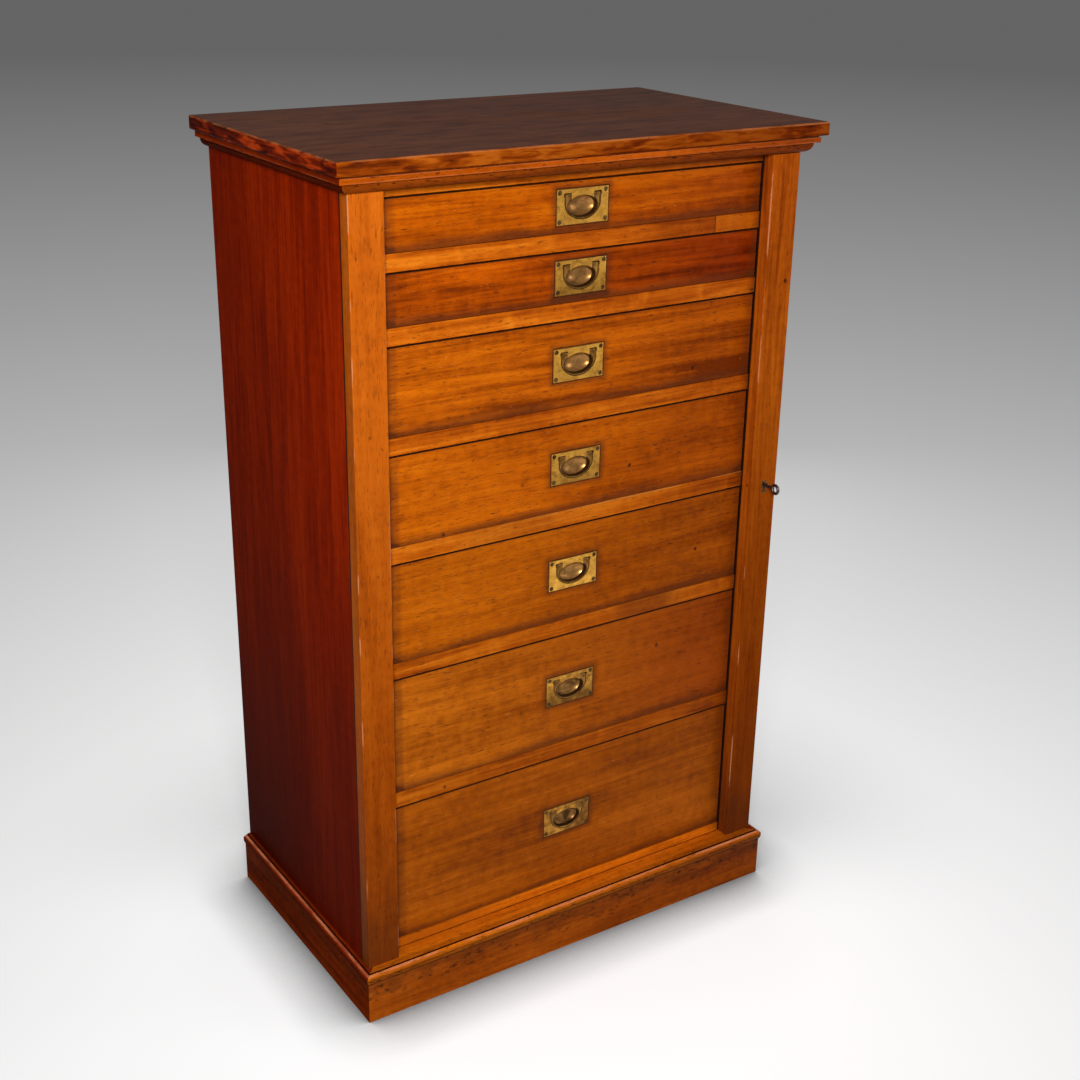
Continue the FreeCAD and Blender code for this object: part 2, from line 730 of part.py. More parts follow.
def make_handle():
    """The flush handle about height zero: its plate, its bail and the mortise that takes it."""
    half = "plate_width / 2"
    up = "plate_height / 2"
    flange = board("handle_flange", (f"-{half}", half), ("plate_face", "plate_face + plate_thick"),
                   (f"-{up}", up))
    soften(flange, "plate_corner", lambda middle, way: abs(way.y) > 0.9, rounded=False)
    pan_deep = "bail_thick + bail_play + pan_wall"
    pan = horseshoe("handle_pan", "bail_play + pan_wall", "plate_face", f"plate_face + {pan_deep}")
    bowl_back = oval_rod("bowl_back", "bowl_width / 2", "bowl_height / 2", "plate_face",
                         "plate_face + bowl_deep + pan_wall", "0")
    casting = fuse("handle_casting", [flange, pan, bowl_back])

    channel_end = "plate_face + bail_thick + bail_play"
    channel_blank = horseshoe("handle_channel_blank", "bail_play", "plate_face - overrun", channel_end)
    land_half = "bail_width / 2 - bail_arm - bail_play"
    land = block("handle_land", (f"-({land_half})", land_half),
                 ("plate_face - 2 * overrun", f"{channel_end} + overrun"),
                 ("0", "bail_height"))
    mouth = oval_rod("bowl_mouth", "bowl_width / 2 - bail_play", "bowl_height / 2 - bail_play",
                     "plate_face - 2 * overrun", f"{channel_end} + overrun", "0")
    channel = cut("handle_channel", channel_blank, [land])
    bowl_across = value("bowl_width / 2 - bail_play")
    bowl_up = value("bowl_height / 2 - bail_play")
    rings = []
    for share in BOWL_RING_SHARES:
        shrink = math.sqrt(1 - share * share)
        depth = value("bowl_deep") * share
        rings.append(oval_ring(bowl_across * shrink, bowl_up * shrink, depth))
    bowl = place(ring_solid("bowl_hollow", rings), "0", "plate_face", "0")

    bearing_half = "bail_width / 2 + trunnion_reach + bearing_play"
    bearing = block("handle_bearing", (f"-({bearing_half})", bearing_half),
                    ("plate_face - overrun", "plate_face + bail_thick + bearing_play"),
                    ("bail_pivot - bail_thick / 2 - bearing_play",
                     "bail_pivot + bail_thick / 2 + bearing_play"))
    bearing_ends = cut("handle_bearing_ends", bearing, [land])
    plate = cut("handle_plate", casting, [channel, bowl, bearing_ends])

    bail_blank = horseshoe("bail_blank", "0", "plate_face", "plate_face + bail_thick")
    inner_half = "bail_width / 2 - bail_arm"
    between = block("bail_between", (f"-({inner_half})", inner_half),
                    ("plate_face - overrun", "plate_face + bail_thick + overrun"),
                    ("0", "bail_height"))
    inside = oval_rod("bail_inside", "bowl_width / 2", "bowl_height / 2",
                      "plate_face - overrun", "plate_face + bail_thick + overrun", "0")
    shoulder = block("bail_shoulder", ("-bail_width", "bail_width"),
                     ("plate_face - overrun", "plate_face + bail_thick + overrun"),
                     ("bail_pivot", "bail_height"))
    arms = cut("bail_arms", bail_blank, [between, inside, shoulder])
    trunnions = rod("bail_trunnion_bar", "bail_thick / 2", "bail_width + 2 * trunnion_reach",
                    (1, 0, 0), "-bail_width / 2 - trunnion_reach", "plate_face + bail_thick / 2",
                    "bail_pivot")
    bail = fuse("bail", [arms, cut("bail_trunnions", trunnions, [between])])

    seat = block("mortise_seat", (f"-{half}", half), ("plate_face - overrun", "plate_face + plate_thick"),
                 (f"-{up}", up))
    deep_half = "bail_width / 2 + bail_play + pan_wall + mortise_play"
    pocket = block("mortise_pocket", (f"-({deep_half})", deep_half),
                   ("plate_face", "plate_face + bowl_deep + pan_wall + mortise_play"),
                   ("-bail_height / 2 - bail_play - pan_wall - mortise_play",
                    "bail_height / 2 + bail_play + pan_wall + mortise_play"))
    mortise = fuse("handle_mortise", [seat, pocket])
    return {"plate": plate, "bail": bail, "mortise": mortise}


def hinge_foot(share):
    return f"stile_foot + (stile_head - stile_foot) * {share} - hinge_length / 2"


def leaf_block(name, share, side):
    """The flat of a hinge leaf, let into the side panel or into the stile's back."""
    depths = {
        "fixed": ("rail_face", "rail_face + hinge_leaf"),
        "moving": ("stile_back - hinge_leaf", "stile_back"),
    }
    foot = hinge_foot(share)
    return block(name, ("half_width - hinge_width", "half_width"), depths[side],
                 (foot, f"{foot} + hinge_length"))


def make_hinges():
    """The brass butt hinges: leaves with alternate knuckles on a separate pin."""
    leaves = {"fixed": [], "moving": []}
    pins = []
    for number, share in enumerate(HINGE_SHARES):
        foot = hinge_foot(share)
        pins.append(rod(f"pin_{number}", "hinge_pin", "hinge_length", (0, 0, 1),
                        "hinge_axis", "hinge_plane", foot))
        bore = rod(f"hinge_bore_{number}", "hinge_pin + bearing_play", "hinge_length + 2 * overrun",
                   (0, 0, 1), "hinge_axis", "hinge_plane", f"{foot} - overrun")
        for side in leaves:
            parts = [leaf_block(f"{side}_leaf_flat_{number}", share, side)]
            step = f"hinge_length / {KNUCKLES}"
            first = 0 if side == "fixed" else 1
            depth = ("rail_face", "rail_face + hinge_leaf") if side == "fixed" else (
                "stile_back - hinge_leaf", "stile_back")
            for turn in range(first, KNUCKLES, 2):
                low = f"{foot} + {step} * {turn} + knuckle_play / 2"
                high = f"{foot} + {step} * {turn + 1} - knuckle_play / 2"
                label = f"{side}_{number}_{turn}"
                parts.append(rod("knuckle_" + label, "knuckle", f"({high}) - ({low})", (0, 0, 1),
                                 "hinge_axis", "hinge_plane", low))
                parts.append(block("tab_" + label, ("half_width - knuckle", "hinge_axis"), depth,
                                   (low, high)))
            whole = fuse(f"{side}_leaf_blank_{number}", parts)
            leaves[side].append(cut(f"{side}_leaf_{number}", whole, [bore]))
    group("hinge_leaves_fixed", leaves["fixed"])
    group("hinge_leaves_moving", leaves["moving"])
    group("hinge_pins", pins)


def keyhole_tool(name, start, end):
    """The keyhole's outline: a round eye over a slot for the bit."""
    eye = rod(name + "_eye", "keyhole", f"({end}) - ({start})", (0, 1, 0), "key_line", start, "key_height")
    slot = block(name + "_slot", ("key_line - keyhole_slot / 2", "key_line + keyhole_slot / 2"),
                 (start, end), ("key_height - keyhole_drop", "key_height"))
    return fuse(name, [eye, slot])


def keeper_plate():
    """The spans of the keeper's plate, let into the right post."""
    middle = "(staple_left + staple_right) / 2"
    return (
        (f"{middle} - keeper_width / 2", f"{middle} + keeper_width / 2"),
        ("rail_face", "rail_face + keeper_thick"),
        ("bolt_foot - staple_wall - bolt_play - keeper_lip",
         "bolt_head + staple_wall + bolt_play + keeper_lip"),
    )


def make_lock():
    """The hinged stile with its escutcheon, hollow lock, sliding bolt, keeper and key."""
    stile = board("locking_stile_blank", ("opening_half", "half_width"), ("face", "stile_back"),
                  ("stile_foot", "stile_head"))
    soften(stile, "arris", upright_front_edges("face"))
    case_span = (("lock_left", "lock_right"), ("lock_front", "cap_back - lock_cap"),
                 ("lock_low", "lock_high"))
    cap_span = (("lock_left", "lock_right"), ("cap_back - lock_cap", "cap_back"),
                ("lock_low - lock_lip", "lock_high + lock_lip"))
    case_outer = block("lock_case_outer", *case_span)
    cap_outer = block("lock_cap_outer", *cap_span)
    case_seat = block("lock_case_seat", case_span[0], ("lock_front", "cap_back"), case_span[2])
    cap_seat = block("lock_cap_seat", cap_span[0], ("cap_back - lock_cap", "cap_back + overrun"),
                     cap_span[2])
    escutcheon_span = (
        ("key_line - escutcheon_width / 2", "key_line + escutcheon_width / 2"),
        ("face", "face + escutcheon_thick"),
        ("key_height - escutcheon_fall", "key_height + escutcheon_rise"),
    )
    escutcheon_blank = block("escutcheon_blank", *escutcheon_span)
    keyhole = keyhole_tool("keyhole_cut", "face - overrun", "lock_front + lock_wall + overrun")
    tools = [case_seat, cap_seat, escutcheon_blank, keyhole]
    for number, share in enumerate(HINGE_SHARES):
        tools.append(leaf_block(f"stile_recess_{number}", share, "moving"))
    cut("locking_stile", stile, tools)
    cut("escutcheon", escutcheon_blank, [keyhole])

    cavity = block("lock_cavity", ("lock_left + lock_wall", "lock_right - lock_wall"),
                   ("lock_front + lock_wall", "cap_back"), ("lock_low + lock_wall", "lock_high - lock_wall"))
    case = cut("lock_shell", case_outer, [cavity, keyhole])
    staple_slot = block("staple_slot", ("staple_left - staple_play - staple_swing",
                                        "staple_right + staple_play"),
                        ("lock_front", "cap_back + overrun"),
                        ("bolt_foot - staple_wall - bolt_play - staple_play",
                         "bolt_head + staple_wall + bolt_play + staple_play"))
    key_bearing = rod("key_bearing", "shank + bearing_play", "lock_cap + 2 * overrun", (0, 1, 0),
                      "key_line", "cap_back - lock_cap - overrun", "key_height")
    cap = cut("lock_cap_plate", cap_outer, [staple_slot, key_bearing])
    group("lock_case", [case, cap])

    bar = block("bolt_bar", ("bolt_nose", "bolt_nose + bolt_length"), ("bolt_front", "bolt_back"),
                ("bolt_foot", "bolt_head"))
    drop = block("bolt_drop", ("key_line - tail_stand - bolt_tail", "key_line - tail_stand"),
                 ("bolt_front", "bolt_back"), ("key_height - tail_drop", "bolt_head"))
    foot = block("bolt_guide", ("bolt_nose + bolt_length - bolt_tail", "bolt_nose + bolt_length"),
                 ("bolt_front", "cap_back - lock_cap"), ("bolt_foot", "bolt_head"))
    fuse("lock_bolt", [bar, drop, foot])

    staple_block = block("staple_block", ("staple_left", "staple_right"),
                         ("rail_face - staple_reach", "rail_face + keeper_thick"),
                         ("bolt_foot - staple_wall - bolt_play", "bolt_head + staple_wall + bolt_play"))
    eye = block("staple_eye", ("staple_left - overrun", "staple_right + overrun"),
                ("rail_face - staple_reach + staple_wall", "bolt_back + bolt_play"),
                ("bolt_foot - bolt_play", "bolt_head + bolt_play"))
    plate = block("keeper_flat", *keeper_plate())
    cut("keeper", fuse("keeper_blank", [plate, staple_block]), [eye])

    bow_start = ("key_line - bow_wire", "face - bow_stand", "key_height")
    bow_outer = faceted_rod("bow_outer", "bow_radius + bow_wire", "2 * bow_wire", (1, 0, 0), *bow_start)
    bow_inner = faceted_rod("bow_inner", "bow_radius - bow_wire", "2 * bow_wire", (1, 0, 0), *bow_start)
    bow = cut("key_bow", bow_outer, [bow_inner])
    shank = rod("key_shank", "shank", "cap_back - (face - bow_stand + bow_radius)", (0, 1, 0),
                "key_line", "face - bow_stand + bow_radius", "key_height")
    collar = rod("key_collar", "collar", "collar_length", (0, 1, 0), "key_line",
                 "face - collar_stand - collar_length", "key_height")
    bit = block("key_bit", ("key_line - bit_thick / 2", "key_line + bit_thick / 2"),
                ("bolt_front - bit_length / 2", "bolt_front + bit_length / 2"),
                ("key_height - bit_reach", "key_height"))
    fuse("key", [bow, shank, collar, bit])


NODES = [
    "top_board", "cornice_front", "cornice_left", "cornice_right", "side_left", "side_right",
    "fixed_stile", "left_post", "right_post", "plinth_front", "plinth_left", "plinth_right",
    "plinth_back", "glue_blocks", "ledge_front", "ledge_left", "ledge_right", "bottom_board",
    "drawer_rails", "drawer_runners", "dust_boards", "back_boards", "top_frame",
    "locking_stile", "escutcheon", "lock_case", "lock_bolt", "key", "keeper",
    "hinge_leaves_fixed", "hinge_leaves_moving", "hinge_pins",
]


def check_and_export():
    """Stop on a failed object, then write each sub-part to a file of its own."""
    doc.recompute()
    faults = [item.Name for item in doc.Objects
              if "Invalid" in item.State or "Error" in item.State]
    if faults:
        raise RuntimeError("these failed: " + ", ".join(faults))
    os.makedirs("parts", exist_ok=True)
    names = list(NODES)
    for number in DRAWERS:
        names += [f"drawer_{number}_{piece}" for piece in ("front", "box", "plate", "bail")]
    for name in names:
        item = doc.getObject(name)
        item.Label = name
        shape = item.Shape
        if shape.isNull() or not shape.isValid() or not shape.Solids:
            raise RuntimeError(name + " has no valid solid")
        shape.exportStep(f"parts/{name}.step")
    box = Part.makeCompound([doc.getObject(name).Shape for name in names]).BoundBox
    print(len(names), "sub-parts", [round(size, 2) for size in
          (box.XMin, box.XMax, box.YMin, box.YMax, box.ZMin, box.ZMax)])


fill_sheet()
make_top()
make_cornice()
make_plinth()
make_carcass()
handle = make_handle()
for number in DRAWERS:
    make_drawer(number, handle)
make_hinges()
make_lock()
check_and_export()
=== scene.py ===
# %% [markdown]
# # Dressing a wellington chest
# A wellington chest is a tall chest of seven drawers that one hinged stile holds shut. Its wood parts
# come from the packed CAD model, and their shapes are right, so this lesson gives them wood finishes.
# The small cast and turned pieces, which are the flush handles, their screws and the key, are modelled
# here with rounder shapes.

# %% Load the frame
import bmesh
import bpy
import math
from mathutils import Matrix, Vector


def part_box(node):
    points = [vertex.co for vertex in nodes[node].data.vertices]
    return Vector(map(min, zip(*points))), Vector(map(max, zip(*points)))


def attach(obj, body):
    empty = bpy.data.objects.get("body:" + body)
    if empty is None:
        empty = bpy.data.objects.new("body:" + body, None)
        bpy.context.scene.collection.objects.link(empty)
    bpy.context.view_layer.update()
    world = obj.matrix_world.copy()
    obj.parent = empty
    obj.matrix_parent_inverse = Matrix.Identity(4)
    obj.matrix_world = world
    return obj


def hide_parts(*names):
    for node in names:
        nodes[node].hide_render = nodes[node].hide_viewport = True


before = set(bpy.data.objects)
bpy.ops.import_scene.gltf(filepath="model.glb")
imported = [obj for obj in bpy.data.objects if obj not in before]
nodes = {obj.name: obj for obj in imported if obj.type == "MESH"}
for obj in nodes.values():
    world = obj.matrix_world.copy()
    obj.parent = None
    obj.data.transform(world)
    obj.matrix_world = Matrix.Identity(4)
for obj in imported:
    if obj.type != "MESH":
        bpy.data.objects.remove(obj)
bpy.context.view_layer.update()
DRAWERS = range(1, 8)

# %% [markdown]
# ## A helper for shader maths
# A finish is a net of nodes. Nets are slow to write out one node at a time, so a small class wraps one
# socket. Adding two of them adds the Math node that does it, and one method adds any other node.

# %% Shader helper
def lay_stops(ramp, stops):
    """Set a colour ramp's stops from pairs of place and colour."""
    while len(ramp.elements) > 1:
        ramp.elements.remove(ramp.elements[-1])
    ramp.elements[0].position = stops[0][0]
    ramp.elements[0].color = (*stops[0][1], 1)
    for place, colour in stops[1:]:
        ramp.elements.new(place).color = (*colour, 1)


class Wire:
    """A value or colour that flows out of a node."""

    def __init__(self, tree, socket):
        self.tree = tree
        self.socket = socket

    def node(self, kind, settings=None, inputs=None, output=0):
        """Add a node. Settings come first, then the values or links of its sockets."""
        made = self.tree.nodes.new(kind)
        for name, setting in (settings or {}).items():
            if name == "stops":
                lay_stops(made.color_ramp, setting)
            else:
                setattr(made, name, setting)
        for name, entry in (inputs or {}).items():
            if isinstance(entry, Wire):
                self.tree.links.new(entry.socket, made.inputs[name])
            elif made.inputs[name].type == "RGBA":
                made.inputs[name].default_value = (*entry, 1)
            else:
                made.inputs[name].default_value = entry
        return Wire(self.tree, made.outputs[output])

    def maths(self, operation, *others):
        return self.node("ShaderNodeMath", {"operation": operation}, dict(enumerate((self, *others))))

    def __add__(self, other):
        return self.maths("ADD", other)

    def __sub__(self, other):
        return self.maths("SUBTRACT", other)

    def __mul__(self, other):
        return self.maths("MULTIPLY", other)

    def __truediv__(self, other):
        return self.maths("DIVIDE", other)

    def __pow__(self, other):
        return self.maths("POWER", other)

    def __rsub__(self, other):
        return self.node("ShaderNodeMath", {"operation": "SUBTRACT"}, {0: other, 1: self})

    def __abs__(self):
        return self.maths("ABSOLUTE")

    __radd__ = __add__
    __rmul__ = __mul__

    def limit(self):
        """Keep a value between nought and one."""
        return self.maths("MAXIMUM", 0).maths("MINIMUM", 1)

    def step(self, start, end):
        """Rise smoothly from nought at start to one at end, or fall where start is the higher."""
        settings = {"interpolation_type": "SMOOTHSTEP"}
        if start <= end:
            return self.node("ShaderNodeMapRange", settings, {0: self, 1: start, 2: end})
        return 1 - self.node("ShaderNodeMapRange", settings, {0: self, 1: end, 2: start})

    def band(self, middle, half, soft):
        """One within half of the middle, fading out over soft."""
        return abs(self - middle).step(half + soft, half)

    def mix(self, first, second):
        """A colour between two, by this value. A Mix node's colour sockets are numbers 6 and 7."""
        return self.node("ShaderNodeMix", {"data_type": "RGBA"}, {0: self, 6: first, 7: second}, 2)

    def tint(self, colour, by):
        """Multiply a colour by another, as far as this value says."""
        settings = {"data_type": "RGBA", "blend_type": "MULTIPLY"}
        return self.node("ShaderNodeMix", settings, {0: self, 6: colour, 7: by}, 2)

    def ramp(self, stops):
        return self.node("ShaderNodeValToRGB", {"stops": stops}, {0: self})


print("a wire can:", ", ".join(name for name in vars(Wire) if not name.startswith("_")))

# %% [markdown]
# ## The start of a finish
# Every finish starts with a new material, its main shader, and the place on the piece. All the pieces
# share the chest's axes: x to the right, y to the back and z up, in metres. That makes it easy to put
# dirt on one edge and not on another.

# %% Start of a finish
def dim(colour, level):
    """A colour at some share of its level."""
    return tuple(part * level for part in colour)


def new_finish(name):
    """A material, its main shader and the place on the piece as a wire."""
    material = bpy.data.materials.new(name)
    material.use_nodes = True
    tree = material.node_tree
    shader = tree.nodes["Principled BSDF"]
    spot = Wire(tree, tree.nodes.new("ShaderNodeTexCoord").outputs["Object"])
    return material, shader, spot


def join(shader, name, wire):
    wire.tree.links.new(wire.socket, shader.inputs[name])


def axes_of(spot):
    """The three coordinates of a place, as three wires."""
    return [spot.node("ShaderNodeSeparateXYZ", None, {0: spot}, output) for output in range(3)]


print("a warm white at half its level:", dim((1.0, 0.9, 0.8), 0.5))

# %% [markdown]
# ## The camera
# The photograph was taken from the left, a little above the top of the chest. The camera's place and
# turn were worked out from the corners of the top, the plinth and the stiles. The lens is long enough
# that the chest's upright edges close in only slightly towards the floor.

# %% Camera
CAMERA_SPOT = Vector((-1.15502, -1.81535, 1.46576))
CAMERA_TARGET = Vector((-0.07005, -0.18435, 0.66069))
CAMERA_ROLL = math.radians(1.0546)
LENS = 53.178
FILM_WIDTH = 36
FARTHEST = 200

camera = bpy.data.objects.new("camera", bpy.data.cameras.new("camera"))
bpy.context.scene.collection.objects.link(camera)
turn = (CAMERA_TARGET - CAMERA_SPOT).to_track_quat("-Z", "Y").to_matrix().to_4x4()
camera.matrix_world = Matrix.Translation(CAMERA_SPOT) @ turn @ Matrix.Rotation(CAMERA_ROLL, 4, "Z")
camera.data.lens = LENS
camera.data.sensor_width = FILM_WIDTH
camera.data.clip_end = FARTHEST
bpy.context.scene.camera = camera
print("camera", [round(part, 3) for part in camera.location])

# %% [markdown]
# ## Light
# One soft lamp stands near the chest, to the left in front and above its top, so the light falls off to
# the right and towards the foot. Two weak lamps keep the right side and the back from going black. The
# world adds a dim light, brighter overhead, for the polish to reflect.

# %% Lamps and world
def add_lamp(name, spot, target, size, power):
    """A square soft lamp that points at a target."""
    lamp = bpy.data.lights.new(name, "AREA")
    lamp.shape = "SQUARE"
    lamp.size = size
    lamp.energy = power
    holder = bpy.data.objects.new(name, lamp)
    bpy.context.scene.collection.objects.link(holder)
    aim = (Vector(target) - Vector(spot)).to_track_quat("-Z", "Y").to_matrix().to_4x4()
    holder.matrix_world = Matrix.Translation(spot) @ aim
    holder.visible_camera = False
    print(name, "gives", power, "watts")


CHEST_MIDDLE = (0, -0.1, 0.65)
add_lamp("key_lamp", (-1.25, -2.05, 1.75), (-0.1, -0.18, 0.85), 0.6, 57)
add_lamp("fill_lamp", (2.4, -1.6, 1.1), CHEST_MIDDLE, 1.0, 12)
add_lamp("back_lamp", (1.15, 1.8, 0.65), CHEST_MIDDLE, 0.8, 7)

world = bpy.data.worlds.new("studio")
world.use_nodes = True
bpy.context.scene.world = world
sky_net = world.node_tree
direction = Wire(sky_net, sky_net.nodes.new("ShaderNodeTexCoord").outputs["Generated"])
height = axes_of(direction)[2]
sky = height.ramp([(0.0, (0.06, 0.06, 0.06)), (0.35, (0.14, 0.14, 0.14)), (1.0, (0.30, 0.30, 0.30))])
sky_net.links.new(sky.socket, sky_net.nodes["Background"].inputs["Color"])

bpy.context.scene.view_settings.view_transform = "Standard"

# %% [markdown]
# ## The floor
# The chest stands on a pale sheet, one large plane, whose tone falls with the distance from the chest.
# Ambient occlusion, a measure of how much open space a spot sees, paints a shadow into the tone beside
# the chest, most of all behind. Part of the tone is paper that takes the chest's shadow. The rest is a glow
# that only the camera and reflections see, so the sheet doesn't light the chest from below.

# %% Floor
FLOOR_SIZE = 90
TONE_RULE = (0.82, 0.333)
FAR_TONE = 0.19
PAPER_SHARE = 0.60
GLOW_SHARE = 0.55
UNSEEN_TONE = 0.12
CAMERA_RAY, GLOSSY_RAY, CLEAR_RAY = 0, 3, 6
NOOK_NEAR = 0.10
NOOK_FAR = 0.50

bpy.ops.object.select_all(action="DESELECT")
bpy.ops.mesh.primitive_plane_add(size=FLOOR_SIZE)
floor = bpy.context.object
floor.name = "floor"
material, shader, spot = new_finish("floor_paper")
x, y, z = axes_of(spot)
reach = (x ** 2 + y ** 2) ** 0.5
tones = ((TONE_RULE[0] + reach * TONE_RULE[1]) ** -1).maths("MAXIMUM", FAR_TONE).limit()
rays = [spot.node("ShaderNodeLightPath", None, None, output)
        for output in (CAMERA_RAY, GLOSSY_RAY, CLEAR_RAY)]
seen = (rays[0] + rays[1] + rays[2]).limit()
near_open, far_open = (spot.node("ShaderNodeAmbientOcclusion", {"samples": 12}, {"Distance": size}, 1)
                       for size in (NOOK_NEAR, NOOK_FAR))
# Painted shadow: the occlusion darkens the floor beside the chest, more behind it and to the right.
shadow_behind = (y + x * 0.6).step(-0.15, 0.25)
tones = tones * (1 - (1 - near_open) * 1.5).limit() * (1 - (1 - far_open) * shadow_behind * 1.25)
paper = seen * (tones * PAPER_SHARE) + (1 - seen) * UNSEEN_TONE
black = (0, 0, 0)
white = (1, 1, 1)
join(shader, "Base Color", paper.mix(black, white))
join(shader, "Emission Color", (seen * tones).mix(black, white))
shader.inputs["Emission Strength"].default_value = GLOW_SHARE
shader.inputs["Roughness"].default_value = 1
shader.inputs["Specular IOR Level"].default_value = 0
floor.data.materials.append(material)
print("the floor is", FLOOR_SIZE, "metres wide, and its far tone is", FAR_TONE)

# %% [markdown]
# ## Mahogany
# Old polished mahogany is a red brown that turns gold in the light. Its figure has four scales: broad
# clouds, ribbons a finger wide along the grain, fine streaks and a small mottle. Each is a noise, and
# their sum picks a colour from a ramp. The same net serves each board, moved by a shift of its own, so
# that no two boards show the same figure.

# %% Mahogany figure
STRETCH = {"X": (0, 1, 1), "Y": (1, 0, 1), "Z": (1, 1, 0)}


def grain(spot, way, across, along, shift, detail=2.0, wander=0.0, tilt=0.0):
    """Noise stretched along one axis. Across and along count its changes in a metre."""
    scale = tuple(across if part else along for part in STRETCH[way])
    laid = spot.node("ShaderNodeMapping", None, {"Vector": spot, "Location": shift,
                                                 "Rotation": (0, tilt, 0), "Scale": scale})
    inputs = {"Vector": laid, "Scale": 1.0, "Detail": detail, "Distortion": wander}
    return spot.node("ShaderNodeTexNoise", None, inputs)


def figure(spot, way, seed, ribbon=1.1, streak=0.5, cloud=0.8, tilt=0.0, fine=0.4):
    """How pale the wood is, from nought to one, about a middle of a half."""
    shift = (seed * 3.7, seed * 5.3, seed * 7.1)
    clouds = grain(spot, way, 7, 2.5, shift, 2)
    ribbons = grain(spot, way, 42, 3.2, shift, 3, 0.8, tilt)
    streaks = grain(spot, way, 190, 9, shift, 2, 0.4, tilt)
    mottle = grain(spot, way, 60, 75, shift, 2)
    return (0.5 + (ribbons - 0.5) * ribbon + (streaks - 0.5) * streak + (clouds - 0.5) * cloud
            + (mottle - 0.5) * fine)


def colour_stops(dark, middle, pale):
    return [(0.12, dark), (0.5, middle), (0.88, pale)]


print("ramp stops:", colour_stops("dark", "middle", "pale"))

# %% [markdown]
# ## Marks in the wood
# Old wood is full of small dark marks: pores, longer flecks, and dents. Pale nicks show where the stain
# is knocked off. Pores, flecks and nicks are stretched noise of which only the highest values count.
# The dents are cells of a Voronoi pattern, and each cell's own colour decides whether it has one.

# %% Marks
PORE_RISE = (0.60, 0.72)
DENT_SIZE = 0.10
DENT_CELLS = 24.0


def pores(spot, way, seed):
    """Dark dashes of the open grain, from nought to one."""
    return grain(spot, way, 1000, 90, (seed, seed * 2, seed * 3), 1).step(*PORE_RISE)


def flecks(spot, way, seed):
    """Dark flecks, a few millimetres long, from nought to one."""
    return grain(spot, way, 330, 75, (seed * 2, seed, seed * 3), 2, 0.3).step(0.64, 0.74)


def nicks(spot, way, seed):
    """Short pale scratches, where the stain is knocked off."""
    return grain(spot, way, 420, 130, (seed * 5, seed, seed * 2), 2, 1.5).step(0.68, 0.76)


def dents(spot, seed, cells=DENT_CELLS):
    """A few small dark dents, of which the size and number follow the cells in a metre."""
    laid = spot.node("ShaderNodeMapping", None, {"Vector": spot, "Location": (seed, seed, seed)})
    inputs = {"Vector": laid, "Scale": cells, "Randomness": 1.0}
    from_point = spot.node("ShaderNodeTexVoronoi", None, inputs, 0)
    draw = spot.node("ShaderNodeTexVoronoi", None, inputs, 1)
    luck = spot.node("ShaderNodeSeparateColor", None, {0: draw}, 0)
    return from_point.step(DENT_SIZE, DENT_SIZE * 0.35) * luck.step(0.55, 0.95)


print("a dent's radius is at most", round(1000 * DENT_SIZE / DENT_CELLS, 1), "mm")

# %% [markdown]
# ## Polish, dirt and painted shade
# French polish is a thin gloss, rubbed on by hand. Here it is too worn for a separate clear coat, so
# the wood's own shader does it, with a low gloss in the wood's tint. Dirt and painted shade gather along
# edges with a wandering border, so a smear adds noise to a place before the step. A painted shade,
# darker and redder, grows to the right, as the light fades that way.

# %% Polish
BUMP_STRENGTH = 0.8
BUMP_DEPTH = 0.0004
# Dark colours for real dirt, and also for painted shade in gaps, hollows, under rails and beside stiles.
DIRT_AND_SHADE = (0.035, 0.010, 0.004)
GRIME_AND_SHADE = (0.11, 0.024, 0.006)
NICK = (0.86, 0.34, 0.10)
RED_SHADE = (0.25, 0.0, 0.0)
ACROSS_FRONT = (-0.25, 0.28)
ACROSS_TOP = (-0.3, 0.34)


def add_bump(shader, strength, depth, lumps):
    raised = lumps.node("ShaderNodeBump", None, {"Strength": strength, "Distance": depth, "Height": lumps})
    join(shader, "Normal", raised)


def polish(shader, colour, rough, lumps, gloss=0.10, sheen=(1, 0.34, 0.06)):
    """Old french polish: a thin worn gloss that the wood's colour shows through."""
    join(shader, "Base Color", colour)
    join(shader, "Roughness", rough.limit())
    shader.inputs["Specular IOR Level"].default_value = gloss
    shader.inputs["Specular Tint"].default_value = (*sheen, 1)
    add_bump(shader, BUMP_STRENGTH, BUMP_DEPTH, lumps)


def smear(place, wear, wander, start, end, strength):
    """Darkening that grows from start to end, with a border that wanders as wear does: dirt in some places,
    painted shade in others.
    """
    return (place + (wear - 0.5) * wander).step(start, end) * strength


def shade_rightwards(x, colour, amount, across):
    """Painted shade: darken and redden a colour more and more to the right, where the lamp's light fades."""
    return (x.step(*across) * amount).tint(colour, RED_SHADE)


def dress(name, material):
    """Give a CAD node one material."""
    piece = nodes[name]
    piece.data.materials.clear()
    piece.data.materials.append(material)


print("polish lumps:", BUMP_DEPTH * 1000, "mm")
